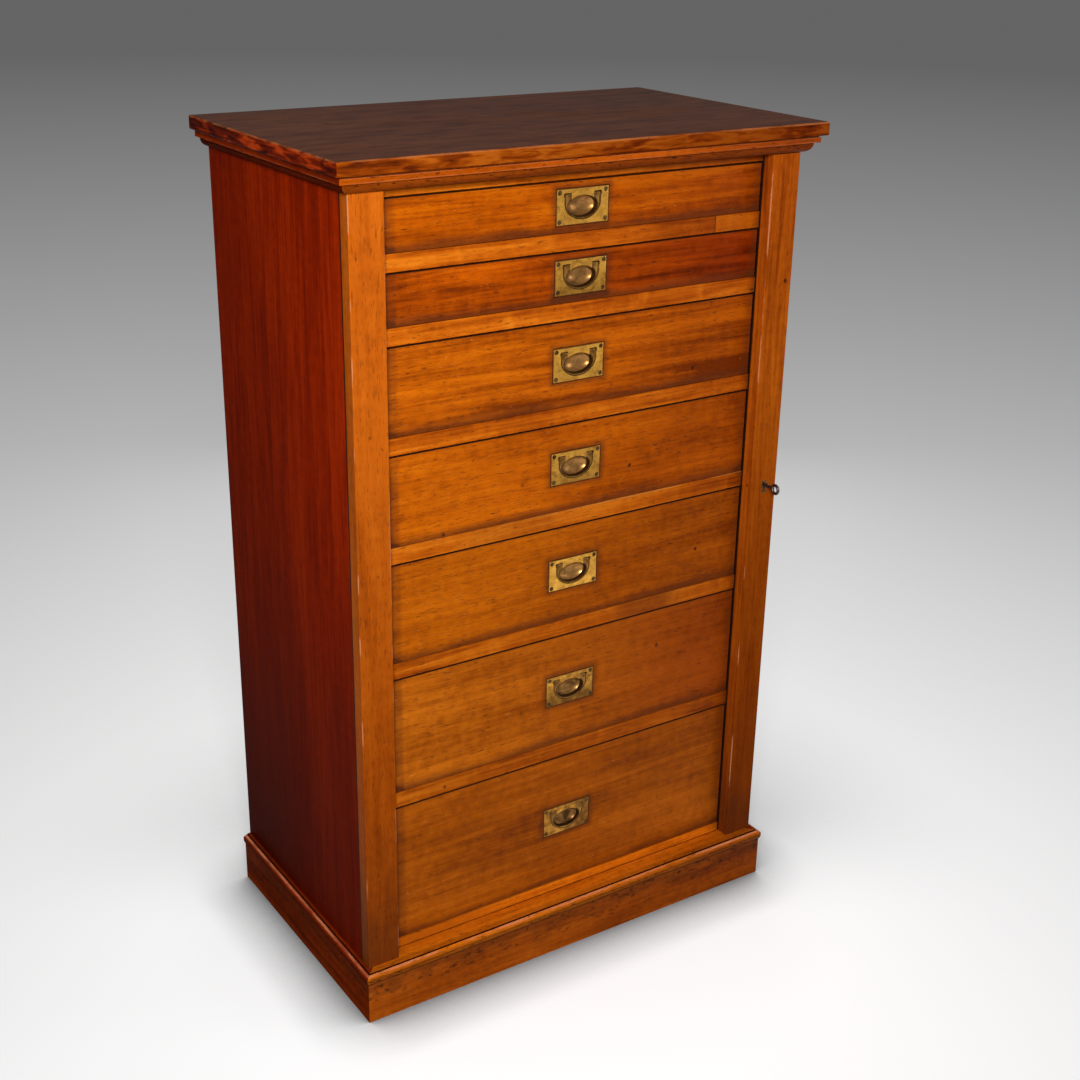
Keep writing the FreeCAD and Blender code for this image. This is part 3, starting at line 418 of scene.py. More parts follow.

# %% [markdown]
# ## Drawer fronts
# The seven fronts run from a bright ribboned mahogany at the top to a plainer brown at the foot. Each
# front is darker along its lower edge and at the ends, with dirt round each brass plate, painted shade
# under the rail above and a painted shadow of the fixed stile on its left end. A front's upper edge is
# painted black for the shadowed gap above it. Each front has its own material, because the dirt and the
# painted shade follow that drawer's own edges and handle.

# %% Drawer fronts
# For each drawer: the seed, how much painted shade darkens and reddens its right end, and its dark, middle
# and pale colours.
FRONT_LOOKS = {
    1: (1.3, 0.45, (0.248, 0.037, 0.001), (0.529, 0.095, 0.001), (0.778, 0.173, 0.002)),
    2: (2.9, 0.74, (0.220, 0.030, 0.001), (0.520, 0.084, 0.001), (0.760, 0.145, 0.002)),
    3: (4.1, 0.38, (0.233, 0.037, 0.001), (0.504, 0.097, 0.002), (0.728, 0.160, 0.003)),
    4: (5.7, 0.43, (0.288, 0.047, 0.001), (0.539, 0.107, 0.002), (0.716, 0.160, 0.003)),
    5: (6.2, 0.27, (0.261, 0.046, 0.001), (0.452, 0.094, 0.002), (0.609, 0.139, 0.003)),
    6: (7.8, 0.66, (0.328, 0.066, 0.002), (0.558, 0.133, 0.005), (0.722, 0.184, 0.008)),
    7: (8.4, 0.08, (0.203, 0.036, 0.002), (0.359, 0.074, 0.002), (0.515, 0.117, 0.004)),
}
LAST_RIBBONED = 3
GRAIN_TILT = math.radians(2.5)
PLATE = {"width": 0.079, "height": 0.0455, "thick": 0.002}


def front_dirt_and_shade(x, z, wear, low, high, off_plate):
    """Darker along the foot and both ends, painted shade under the head, dirt round the plate, and a painted
    shadow of the fixed stile.
    """
    foot = smear(z, wear, 0.02, low.z + 0.016, low.z + 0.001, 0.75)
    # Painted shade under the rail above.
    head = smear(z, wear, 0.006, high.z - 0.005, high.z, 0.25)
    ends = smear(abs(x), wear, 0.02, high.x - 0.022, high.x - 0.002, 0.55)
    # Painted shadow of the fixed stile on the left end.
    stile_shade = x.step(low.x + 0.027, low.x + 0.020) * 0.32
    round_plate = smear(off_plate, wear, 0.012, 0.012, 0.0, 0.6)
    return (foot + head + (ends + stile_shade) + round_plate).limit()


def front_finish(number, seed, redness, dark, middle, pale):
    material, shader, spot = new_finish(f"drawer_front_{number}")
    low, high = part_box(f"drawer_{number}_front")
    plate_low, plate_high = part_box(f"drawer_{number}_plate")
    plate_middle = (plate_low.z + plate_high.z) / 2
    x, y, z = axes_of(spot)
    if number <= LAST_RIBBONED:
        wood = figure(spot, "X", seed, ribbon=1.6, streak=0.9, tilt=GRAIN_TILT)
    else:
        wood = figure(spot, "X", seed, ribbon=0.9, streak=0.7, cloud=1.1, tilt=GRAIN_TILT, fine=0.55)
    colour = (nicks(spot, "X", seed) * 0.45).mix(wood.ramp(colour_stops(dark, middle, pale)), NICK)
    colour = shade_rightwards(x, colour, redness, ACROSS_FRONT)

    beside = (abs(x) - PLATE["width"] / 2).maths("MAXIMUM", 0)
    above = (abs(z - plate_middle) - PLATE["height"] / 2).maths("MAXIMUM", 0)
    off_plate = (beside ** 2 + above ** 2) ** 0.5
    wear = grain(spot, "X", 35, 12, (seed, 0, seed), 3)
    dirt_and_shade = front_dirt_and_shade(x, z, wear, low, high, off_plate)
    colour = dirt_and_shade.mix(colour, GRIME_AND_SHADE)

    outline = off_plate.step(0.0018, 0.0007) * 0.8
    # Painted shadow: a thin black line along the upper edge for the gap under the rail.
    head_line = z.step(high.z - 0.0012, high.z - 0.0006) * y.step(low.y + 0.0055, low.y + 0.0035)
    marks = (pores(spot, "X", seed) * 0.45 + dents(spot, seed) * 0.9 + flecks(spot, "X", seed) * 0.5
             + outline + head_line).limit()
    colour = marks.mix(colour, DIRT_AND_SHADE)
    rough = 0.36 + dirt_and_shade * 0.2 + (wear - 0.5) * 0.15
    polish(shader, colour, rough, wood * 0.3 - marks + wear * 0.6)
    return material


for number, look in FRONT_LOOKS.items():
    dress(f"drawer_{number}_front", front_finish(number, *look))
print("dressed", len(FRONT_LOOKS), "drawer fronts")

# %% [markdown]
# ## Rails
# Years of sliding drawers have rubbed the rails brighter than the fronts. A patch is let into the first
# rail near its right end, and the rail under the fourth drawer has a pale edge, partly wear and partly
# painted highlight. The lowest rail is the brightest, with painted light from the floor below, and
# painted shade darkens the rails lower down. The rails are one piece with one material, so masks by
# height pick them out. Each rail goes by the number of the drawer over it.

# %% Rails
RAIL_MIDDLE = 0.011
PATCH_START = 0.217
LOWEST = 7
rail_heads = {number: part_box(f"drawer_{number}_front")[0].z - 0.0005 for number in DRAWERS}
RAIL_WOOD = colour_stops((0.34, 0.056, 0.002), (0.62, 0.128, 0.004), (0.84, 0.22, 0.010))
LOWEST_LIT_WOOD = colour_stops((0.52, 0.108, 0.003), (0.84, 0.198, 0.005), (0.97, 0.265, 0.008))
PATCH_WOOD = colour_stops((0.31, 0.050, 0.002), (0.50, 0.102, 0.003), (0.66, 0.155, 0.006))

material, shader, spot = new_finish("rail_mahogany")
x, y, z = axes_of(spot)


def on_rail(number, half, soft):
    """One on the rail under a drawer."""
    return z.band(rail_heads[number] - RAIL_MIDDLE, half, soft)


wood = figure(spot, "X", 11.7, ribbon=1.5, streak=1.1, cloud=0.9, tilt=math.radians(-2))
flare = grain(spot, "Z", 28, 12, (4.2, 1.1, 7.7), 2).step(0.60, 0.80)
colour = (wood + flare * 0.25).ramp(RAIL_WOOD)
colour = shade_rightwards(x, colour, 0.35 - z.step(0.95, 0.40) * 0.19, ACROSS_FRONT)
# Painted shade: the lower rails are darker.
colour = (z.step(1.0, 0.25) * 0.35).tint(colour, (0.2, 0.15, 0.1))
# Painted light: the lowest rail is paler, most of all to the right, for the light from the floor below.
lowest_lit_wood = x.step(0.05, -0.29).mix(wood.ramp(LOWEST_LIT_WOOD), (0.50, 0.110, 0.004))
lowest = z.step(rail_heads[LOWEST] - 0.0005, rail_heads[LOWEST] - 0.0015)
colour = lowest.mix(colour, lowest_lit_wood)
top_left = x.step(-0.20, -0.29) * z.step(0.98, 1.02)
colour = (top_left * 0.25).mix(colour, (0.55, 0.11, 0.004))
colour = (x.band(0.13, 0.03, 0.04) * on_rail(5, 0.014, 0.002) * 0.4).mix(colour, GRIME_AND_SHADE)
colour = (x.band(-0.10, 0.05, 0.05) * on_rail(4, 0.014, 0.002) * 0.2).mix(colour, GRIME_AND_SHADE)

patch = x.step(PATCH_START, PATCH_START + 0.001) * on_rail(1, 0.012, 0.001)
colour = patch.mix(colour, figure(spot, "X", 17.2, ribbon=0.5).ramp(PATCH_WOOD))
seam = x.band(PATCH_START, 0.0006, 0.0004) * on_rail(1, 0.012, 0.001)
wear = grain(spot, "X", 60, 14, (3.3, 2.2, 1.1), 3)
# A pale line on the fourth rail's edge, partly wear and partly painted highlight.
worn_and_lit_edge = z.band(rail_heads[4] - 0.0006, 0.0005, 0.0006) * wear.step(0.35, 0.6)
colour = (worn_and_lit_edge * 0.55).limit().mix(colour, (0.80, 0.30, 0.06))
# Darker at both ends, next to the stiles.
dark_rail_ends = smear(abs(x), wear, 0.02, 0.276, 0.293, 0.5)
marks = (pores(spot, "X", 5.1) * 0.4 + dents(spot, 9.3, 30) * 0.9 + flecks(spot, "X", 5.1) * 0.45
         + seam * 0.7 + dark_rail_ends).limit()
colour = marks.mix(colour, DIRT_AND_SHADE)
polish(shader, colour, 0.36 + (wear - 0.5) * 0.2, wood * 0.3 - marks)
dress("drawer_rails", material)
print("upper faces of the rails:", [round(head, 4) for head in rail_heads.values()])

# %% [markdown]
# ## Stiles
# The two stiles are straight-grained and stand proud of the drawers. Painted shade darkens both towards
# the foot, and a darker band lies near the floor. The hinged one is redder at its head. Each front corner
# has a thin pale line, partly polish worn through where hands and brooms strike, partly a painted
# highlight. Where their side faces meet the drawers they are painted black for the shade in the gap.

# %% Stiles
# Shade is how much painted shade darkens a stile towards its foot, and head_shade how much darker it grows
# towards its head.
STILE_LOOKS = {
    "fixed_stile": {"seed": 21.4, "tone": 1.12, "shade": 0.48, "ribbon": 0.8, "head_shade": 0.0},
    "locking_stile": {"seed": 26.8, "tone": 0.96, "shade": 0.74, "ribbon": 1.7, "head_shade": 0.34},
}
STILE_WOOD = ((0.30, 0.050, 0.003), (0.52, 0.105, 0.005), (0.66, 0.150, 0.008))


def both_sides(x, low, high, start, end):
    """One at both side faces, fading inwards from end to start."""
    return (x.step(low.x + start, low.x + end) + x.step(high.x - start, high.x - end)).limit()


def worn_and_lit_corners(x, y, low, high, wear):
    """Thin pale lines along the two front corners: polish worn through, and a painted highlight."""
    on_edge = (x.band(low.x + 0.0004, 0.0005, 0.0004) + x.band(high.x - 0.0004, 0.0005, 0.0004)).limit()
    return (on_edge * y.step(low.y + 0.002, low.y + 0.001) * wear.step(0.52, 0.62)).limit()


def stile_finish(node, seed, tone, shade, ribbon, head_shade):
    material, shader, spot = new_finish(f"{node}_mahogany")
    low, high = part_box(node)
    x, y, z = axes_of(spot)
    wood = figure(spot, "Z", seed, ribbon=ribbon, streak=ribbon * 0.6, cloud=0.9)
    colour = wood.ramp(colour_stops(*(dim(stop, tone) for stop in STILE_WOOD)))
    behind_face = y.step(low.y + 0.002, low.y + 0.004)
    # Painted shade: darker and redder towards the foot, less on the side faces.
    darker = z.step(1.15, 0.25) * shade * (1 - behind_face * 0.45)
    colour = darker.tint(colour, (0.25, 0.12, 0.05))
    colour = (z.step(0.85, 1.12) * head_shade).tint(colour, (0.6, 0.35, 0.3))

    wear = grain(spot, "Z", 30, 14, (seed, seed, 0), 3)
    foot_darkening = smear(z, wear, 0.3, 0.36, 0.06, 0.5) + smear(z, wear, 0.1, 0.19, 0.12, 0.2)
    colour = foot_darkening.mix(colour, dim(GRIME_AND_SHADE, 0.9))
    rubbed_and_lit = worn_and_lit_corners(x, y, low, high, wear)
    colour = (rubbed_and_lit * 0.5).mix(colour, (0.80, 0.36, 0.18))
    # Painted shade: black where the side faces meet the drawers, for the shade in the gap.
    recess = y.step(high.y - 0.0035, high.y - 0.0022) * both_sides(x, low, high, 0.0010, 0.0004)
    marks = (pores(spot, "Z", seed) * 0.35 + dents(spot, seed, 22) * 0.9 + flecks(spot, "Z", seed) * 0.4
             + recess).limit() * (1 - rubbed_and_lit)
    colour = marks.mix(colour, DIRT_AND_SHADE)
    polish(shader, colour, 0.34 + (wear - 0.5) * 0.2, wood * 0.3 - marks, 0.008)
    return material


for node, look in STILE_LOOKS.items():
    dress(node, stile_finish(node, **look))
print("dressed", ", ".join(STILE_LOOKS))

# %% [markdown]
# ## Side panels
# Each side is one wide board with upright grain, stained a deep oxblood red. It keeps more colour than
# the front, because less daylight has reached it. Painted shade darkens it towards the floor and the back.

# %% Side panels
SIDE_WOOD = colour_stops((0.21, 0.011, 0.001), (0.37, 0.021, 0.001), (0.53, 0.037, 0.0015))


def side_finish(name, seed):
    material, shader, spot = new_finish(name)
    x, y, z = axes_of(spot)
    wood = figure(spot, "Z", seed, ribbon=1.0, streak=0.9, cloud=0.8)
    wear = grain(spot, "Z", 9, 3, (seed, seed, seed), 3)
    # Painted shade: darker towards the floor and towards the back.
    darker = smear(z, wear, 0.4, 0.95, 0.0, 0.72) + y.step(-0.16, 0.20) * 0.30
    colour = darker.limit().mix(wood.ramp(SIDE_WOOD), (0.07, 0.005, 0.001))
    scuffs = grain(spot, "Z", 400, 30, (seed, 1, 2), 2).step(0.66, 0.74)
    colour = (scuffs * 0.18).mix(colour, (0.42, 0.06, 0.01))
    marks = (pores(spot, "Z", seed) * 0.4 + dents(spot, seed, 14) * 0.6).limit()
    colour = marks.mix(colour, (0.03, 0.005, 0.002))
    polish(shader, colour, 0.34 + (wear - 0.5) * 0.25, wood * 0.3 - marks, 0.002)
    return material


for node, seed in (("side_left", 31.2), ("side_right", 37.9)):
    dress(node, side_finish(f"{node}_mahogany", seed))

# %% [markdown]
# ## Top board
# The top has faded and darkened into a cool chocolate brown with fine scratches. Its edges are redder
# and brighter, with a flame figure, and nearly matt. One material does both, with two shaders that a
# mask mixes: only the upper face is within a millimetre of the board's full height.

# %% Top board
FACE_WOOD = colour_stops((0.070, 0.0150, 0.0042), (0.128, 0.029, 0.0080), (0.215, 0.055, 0.014))
EDGE_WOOD = [(0.1, (0.055, 0.009, 0.002)), (0.42, (0.17, 0.025, 0.002)),
             (0.62, (0.27, 0.045, 0.002)), (0.9, (0.44, 0.100, 0.006))]
END_WOOD = colour_stops((0.05, 0.004, 0.001), (0.22, 0.015, 0.001), (0.62, 0.062, 0.005))

top_low, top_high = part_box("top_board")
material, shader, spot = new_finish("top_mahogany")
x, y, z = axes_of(spot)
wood = figure(spot, "X", 41.5, ribbon=0.9, streak=0.6, cloud=0.8)
scratches = grain(spot, "X", 1400, 9, (3, 1, 4), 2, 0, math.radians(12)).step(0.68, 0.76)
smudges = grain(spot, "X", 8, 6, (1, 5, 9), 4).step(0.5, 0.75)
face_colour = (scratches * 0.2 + smudges * 0.12).mix(wood.ramp(FACE_WOOD), (0.16, 0.065, 0.028))

flame = grain(spot, "X", 170, 26, (2, 7, 1), 3, 0.7, math.radians(-24))
edge_figure = 0.64 + (flame - 0.5) * 1.7 + (grain(spot, "X", 14, 9, (3, 6, 2), 2) - 0.5) * 1.6
edge_colour = shade_rightwards(x, edge_figure.ramp(EDGE_WOOD), 0.45, ACROSS_TOP)
end_flame = grain(spot, "Y", 150, 24, (3, 1, 2), 3, 0.6, math.radians(-32))
end_figure = 0.42 + (end_flame - 0.5) * 2.4 + (grain(spot, "Y", 20, 9, (1, 6, 4), 2) - 0.5) * 1.2
at_ends = both_sides(x, top_low, top_high, 0.0015, 0.0005)
edge_colour = at_ends.mix(edge_colour, end_figure.ramp(END_WOOD))

on_face = z.step(top_high.z - 0.0012, top_high.z - 0.0003)
colour = on_face.mix(edge_colour, face_colour)
# A pale line along the upper arris, partly wear and partly painted highlight.
rim = z.band(top_high.z - 0.0012, 0.0007, 0.0007)
wear = grain(spot, "X", 50, 16, (5, 5, 5), 3)
colour = (rim * wear.step(0.35, 0.6) * 0.6).mix(colour, (0.55, 0.17, 0.05))
marks = (pores(spot, "X", 7.7) * 0.3 + dents(spot, 3.9, 18) * 0.7).limit()
colour = marks.mix(colour, (0.022, 0.009, 0.005))
rough = 0.32 + on_face * 0.08 + (smudges - 0.5) * 0.12
polish(shader, colour, rough, wood * 0.3 - marks - scratches * 0.3, 0.16, (1, 0.72, 0.46))
edges = material.node_tree.nodes.new("ShaderNodeBsdfPrincipled")
polish(edges, colour, rough, wood * 0.3 - marks, 0.01)
both = spot.node("ShaderNodeMixShader", None, {0: on_face, 1: Wire(spot.tree, edges.outputs[0]),
                                               2: Wire(spot.tree, shader.outputs[0])})
material.node_tree.links.new(both.socket, material.node_tree.nodes["Material Output"].inputs["Surface"])
dress("top_board", material)
print("the top board is", round(1000 * (top_high.z - top_low.z), 1), "mm thick")

# %% [markdown]
# ## Mouldings
# The cornice under the top and the ledge on the plinth are mitred mouldings. Dark lines paint the shade
# in their hollows and quirks and under the ledge's nose, with black dirt and old wax where the ledge meets
# the rail, and pale pink lines on some high edges are partly wear and partly painted highlight. Both run
# along the moulding as lines, so each is a band, by height or by how far in it lies from the moulding's
# front.

# %% Mouldings
PINK_WEAR_AND_HIGHLIGHT = (0.72, 0.24, 0.11)
FRONT_MOULDING = colour_stops((0.26, 0.040, 0.001), (0.48, 0.084, 0.002), (0.70, 0.140, 0.005))
SIDE_MOULDING = colour_stops((0.13, 0.010, 0.001), (0.26, 0.022, 0.001), (0.40, 0.042, 0.002))
LEDGE_WOOD = colour_stops((0.37, 0.072, 0.002), (0.63, 0.145, 0.004), (0.86, 0.225, 0.010))
# The pieces in front run along X and are glossier than those at the sides, which run along Y.
GLOSS = {"X": 0.08, "Y": 0.002}
# Each line has a direction, a middle, half its width and its strength.
# The dark lines are mostly painted shade, with dirt where the ledge meets the rail; the bright lines are
# wear and painted highlight.
MOULDINGS = {
    "cornice": {"redness": 0.36,
                "dark": [("height", 1.1385, 0.0008, 0.7), ("height", 1.1450, 0.0050, 0.45),
                         ("height", 1.1608, 0.0010, 0.45)],
                "bright": [("height", 1.1533, 0.0006, 0.2), ("height", 1.1592, 0.0006, 0.2)]},
    "ledge": {"redness": 0.12,
              "dark": [("inwards", 0.0064, 0.0007, 0.95), ("height", 0.0625, 0.0012, 0.9),
                       ("height", 0.0675, 0.0030, 0.5), ("inwards", 0.0115, 0.0035, 0.3),
                       ("inwards", 0.0390, 0.0015, 0.6), ("height", 0.0722, 0.0020, 0.15)],
              "bright": [("inwards", 0.0036, 0.0012, 0.8)]},
}


def sum_lines(places, lines):
    """The masks of several lines, added up."""
    total = places["height"] * 0
    for direction, middle, half, strength in lines:
        total = total + places[direction].band(middle, half, half * 0.6) * strength
    return total


def moulding_finish(node, way, seed, stops):
    kind, side = node.split("_")
    look = MOULDINGS[kind]
    material, shader, spot = new_finish(node + "_wood")
    low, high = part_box(node)
    x, y, z = axes_of(spot)
    inwards = {"front": y - low.y, "left": x - low.x, "right": high.x - x}[side]
    wood = figure(spot, way, seed, ribbon=0.8, streak=0.5, cloud=0.8)
    wear = grain(spot, way, 60, 18, (seed, 2, 3), 3)
    places = {"height": z + (wear - 0.5) * 0.001, "inwards": inwards}
    colour = wood.ramp(stops)
    if side == "front":
        colour = shade_rightwards(x, colour, look["redness"], ACROSS_TOP)
    # Pale lines: wear and painted highlight.
    bright = sum_lines(places, look["bright"])
    colour = (bright * wear.step(0.3, 0.62)).limit().mix(colour, PINK_WEAR_AND_HIGHLIGHT)
    # Dark lines: mostly painted shade, some dirt.
    dark = sum_lines(places, look["dark"])
    marks = (pores(spot, way, seed) * 0.5 + flecks(spot, way, seed) * 0.6 + dents(spot, seed, 40) * 0.9
             + dark).limit()
    colour = marks.mix(colour, dim(DIRT_AND_SHADE, 0.6))
    rough = 0.36 + (wear - 0.5) * 0.2 + dark * 0.2
    polish(shader, colour, rough, wood * 0.3 - marks, GLOSS[way])
    return material


for node, way, seed, stops in (
        ("cornice_front", "X", 51.0, FRONT_MOULDING), ("cornice_left", "Y", 52.7, SIDE_MOULDING),
        ("cornice_right", "Y", 53.9, SIDE_MOULDING), ("ledge_front", "X", 55.1, LEDGE_WOOD),
        ("ledge_left", "Y", 56.4, SIDE_MOULDING), ("ledge_right", "Y", 57.8, SIDE_MOULDING)):
    dress(node, moulding_finish(node, way, seed, stops))
print("dark lines:", {kind: len(look["dark"]) for kind, look in MOULDINGS.items()})

# %% [markdown]
# ## Plinth
# The plinth takes the knocks of feet and the wet of mops. It is browner than the case, with bruises and
# a dark stain along its upper part. The net is the same for all three boards, with paler wood in front.

# %% Plinth
PLINTH_FRONT = colour_stops((0.20, 0.032, 0.002), (0.38, 0.071, 0.003), (0.56, 0.122, 0.007))
PLINTH_SIDE = colour_stops((0.08, 0.009, 0.001), (0.21, 0.023, 0.001), (0.34, 0.044, 0.002))


def plinth_finish(name, way, seed, stops):
    material, shader, spot = new_finish(name)
    x, y, z = axes_of(spot)
    wood = figure(spot, way, seed, ribbon=1.1, streak=0.6, cloud=1.0)
    wear = grain(spot, way, 45, 16, (seed, 4, 2), 3)
    stain = smear(z, wear, 0.09, 0.030, 0.060, 0.55)
    colour = stain.mix(wood.ramp(stops), dim(GRIME_AND_SHADE, 0.8))
    bruises = grain(spot, way, 140, 80, (1, seed, 3), 2).step(0.56, 0.68) * z.step(0.01, 0.05)
    marks = (pores(spot, way, seed) * 0.4 + dents(spot, seed, 32) * 0.9 + flecks(spot, way, seed) * 0.5
             + bruises * 0.6).limit()
    colour = marks.mix(colour, dim(DIRT_AND_SHADE, 0.7))
    polish(shader, colour, 0.42 + (wear - 0.5) * 0.2, wood * 0.3 - marks, GLOSS[way])
    return material


for node, way, seed, stops in (("plinth_front", "X", 61.3, PLINTH_FRONT),
                               ("plinth_left", "Y", 62.9, PLINTH_SIDE),
                               ("plinth_right", "Y", 63.4, PLINTH_SIDE)):
    dress(node, plinth_finish(node + "_wood", way, seed, stops))

# %% [markdown]
# ## Unpolished wood
# Nothing inside the chest was polished. Drawer linings and runners are oak, the back and the dust boards
# are a cheaper softwood. A drawer's back has its grain across, so the net turns the grain behind one
# depth. The posts behind the stiles are stained brown in front, and painted black beside the drawers for
# the shade in the gap.

# %% Linings and back
OAK = ((0.22, 0.125, 0.06), (0.38, 0.235, 0.12), (0.50, 0.33, 0.18))
PINE = ((0.17, 0.095, 0.05), (0.30, 0.18, 0.095), (0.41, 0.26, 0.14))
STAINED = ((0.07, 0.020, 0.006), (0.13, 0.040, 0.012), (0.20, 0.068, 0.022))
LINING = 0.01
POST_STAIN = 0.04
POST_SHADE = 0.012


def plain_wood(name, way, seed, colours, stain_to=-1.0, shade_to=0.0, cross_from=None):
    """Bare wood. It is stained brown in front of one depth, and painted black there up to one width, for the
    shade in the gap.
    Behind the depth cross_from the grain runs across."""
    material, shader, spot = new_finish(name)
    x, y, z = axes_of(spot)
    wood = figure(spot, way, seed, ribbon=1.3, streak=0.9, cloud=0.6)
    if cross_from is not None:
        crossing = figure(spot, "X", seed + 0.7, ribbon=1.3, streak=0.9, cloud=0.6)
        wood = wood + (crossing - wood) * y.step(cross_from - 0.0006, cross_from - 0.0002)
    blots = grain(spot, way, 12, 7, (seed, 3, 1), 4).step(0.55, 0.8)
    marks = (pores(spot, way, seed) * 0.5 + blots * 0.25).limit()
    colour = marks.mix(wood.ramp(colour_stops(*colours)), (0.10, 0.055, 0.03))
    front_part = y.step(stain_to, stain_to - 0.01)
    colour = front_part.mix(colour, wood.ramp(colour_stops(*STAINED)))
    black_part = front_part * abs(x).step(shade_to, shade_to - 0.004)
    join(shader, "Base Color", black_part.mix(colour, (0.012, 0.004, 0.002)))
    join(shader, "Roughness", (0.62 + (blots - 0.5) * 0.2).limit())
    shader.inputs["Specular IOR Level"].default_value = 0.1
    add_bump(shader, 0.6, BUMP_DEPTH, wood - marks)
    return material


for number in DRAWERS:
    node = f"drawer_{number}_box"
    dress(node, plain_wood(f"oak_lining_{number}", "Y", 70 + number * 1.7, OAK,
                           cross_from=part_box(node)[1].y - LINING))
for node, way, colours in (
        ("drawer_runners", "Y", OAK), ("top_frame", "Y", OAK), ("dust_boards", "X", PINE),
        ("bottom_board", "X", PINE), ("back_boards", "Z", PINE), ("plinth_back", "X", PINE),
        ("glue_blocks", "Z", PINE)):
    dress(node, plain_wood(node + "_wood", way, 80 + len(node) * 1.3, colours))
for node, seed in (("left_post", 87.1), ("right_post", 88.3)):
    low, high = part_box(node)
    inner_side = min(abs(low.x), abs(high.x))
    dress(node, plain_wood(node + "_wood", "Z", seed, OAK, low.y + POST_STAIN, inner_side + POST_SHADE))
print("the posts' inner sides are", round(inner_side, 4), "m from the middle")

# %% [markdown]
# ## Brass and steel
# The handle plates are cast brass with a century of patina: yellow where they are rubbed and brown
# where they are not. A brass finish is a metal whose colour and roughness both follow the patina, a
# noise of blotches and specks. An overlay, a function that changes the colour by place, adds the rest.

# %% Metals
BRASS = (1.0, 0.50, 0.075)
BRASS_DARK = (0.22, 0.080, 0.012)
BOWL_BRIGHT = (0.52, 0.250, 0.072)
BOWL_DARK = (0.07, 0.030, 0.009)
BAIL_BRIGHT = (0.72, 0.34, 0.080)
BAIL_DARK = (0.18, 0.080, 0.018)
STEEL = (0.16, 0.13, 0.11)
STEEL_DARK = (0.05, 0.038, 0.032)


def metal_finish(name, bright, tarnished, seed, rough, patina=0.5, overlay=None, metallic=1.0, gloss=0.5):
    """Tarnished metal. An overlay changes the colour by place."""
    material, shader, spot = new_finish(name)
    blotch = grain(spot, "X", 110, 90, (seed, seed, seed), 4, 0.5)
    speck = grain(spot, "X", 800, 600, (seed, 1, seed), 2)
    worn = (0.5 + (blotch - 0.5) * 1.8 + (speck - 0.5) * 0.8 + (patina - 0.5)).limit()
    colour = worn.mix(bright, tarnished)
    if overlay:
        colour = overlay(spot, worn, colour)
    join(shader, "Base Color", colour)
    join(shader, "Roughness", (rough + worn * 0.22).limit())
    shader.inputs["Metallic"].default_value = metallic
    shader.inputs["Specular IOR Level"].default_value = gloss
    add_bump(shader, 0.35, 0.0002, speck - worn)
    return material


brass_nodes = ("lock_case", "lock_bolt", "keeper", "hinge_leaves_fixed", "hinge_leaves_moving")
for seed, node in enumerate(brass_nodes, start=91):
    dress(node, metal_finish(node + "_brass", BRASS, BRASS_DARK, seed, 0.3))
dress("escutcheon", metal_finish("escutcheon_brass", (0.42, 0.22, 0.08), (0.10, 0.05, 0.02), 96.0, 0.4, 0.6))
dress("hinge_pins", metal_finish("hinge_pin_steel", STEEL, STEEL_DARK, 97.0, 0.35))
print("dressed", len(brass_nodes) + 2, "metal nodes of the CAD model")

# %% [markdown]
# ## Starting shapes
# New pieces start as primitives: blocks, eggs and round rods. Each is moved, turned and scaled as an
# object, and that is then applied, so all the meshes share the chest's axes.

# %% Starting shapes
def use_only(piece):
    """Make a piece the only one selected, and active."""
    bpy.ops.object.select_all(action="DESELECT")
    piece.select_set(True)
    bpy.context.view_layer.objects.active = piece


def settle(piece):
    """Bake a piece's place, turn and size into its mesh."""
    use_only(piece)
    bpy.ops.object.transform_apply(location=True, rotation=True, scale=True)
    return piece


def add_block(low, high):
    """A block between two corners."""
    bpy.ops.object.select_all(action="DESELECT")
    low = Vector(low)
    high = Vector(high)
    bpy.ops.mesh.primitive_cube_add(size=1, location=(low + high) / 2)
    piece = bpy.context.object
    piece.scale = high - low
    return settle(piece)


def add_egg(halves):
    """An egg round the origin with three half lengths. Its poles point front and back."""
    bpy.ops.object.select_all(action="DESELECT")
    bpy.ops.mesh.primitive_uv_sphere_add(segments=56, ring_count=28, radius=1, rotation=(math.pi / 2, 0, 0))
    piece = bpy.context.object
    piece.scale = (halves[0], halves[2], halves[1])
    return settle(piece)


def add_rod(start, end, radius, sides=32):
    """A round rod between two points."""
    bpy.ops.object.select_all(action="DESELECT")
    start = Vector(start)
    end = Vector(end)
    run = end - start
    bpy.ops.mesh.primitive_cylinder_add(vertices=sides, radius=radius, depth=run.length)
    piece = bpy.context.object
    turn = run.to_track_quat("Z", "Y").to_matrix().to_4x4()
    piece.matrix_world = Matrix.Translation((start + end) / 2) @ turn
    return settle(piece)


print("blocks, eggs and rods can be made")

# %% [markdown]
# ## Joining and rounding
# A boolean modifier joins pieces or cuts one from another, as a file or a drill would. A bevel takes the
# sharpness off the edges, and shading by angle makes the curves look smooth. The seven handles are
# alike, so each part is modelled once, and its copies are shifted to their drawers.

# %% Joining and rounding
def combine(piece, other, operation):
    """Join another piece to this one, or cut it away, and delete the other."""
    use_only(piece)
    work = piece.modifiers.new("combine", "BOOLEAN")
    work.operation = operation
    work.object = other
    work.solver = "EXACT"
    bpy.ops.object.modifier_apply(modifier=work.name)
    bpy.data.objects.remove(other)
    return piece


def smooth(piece, angle):
    """Shade smoothly where two faces meet at less than some angle."""
    use_only(piece)
    bpy.ops.object.shade_smooth_by_angle(angle=math.radians(angle))
    return piece


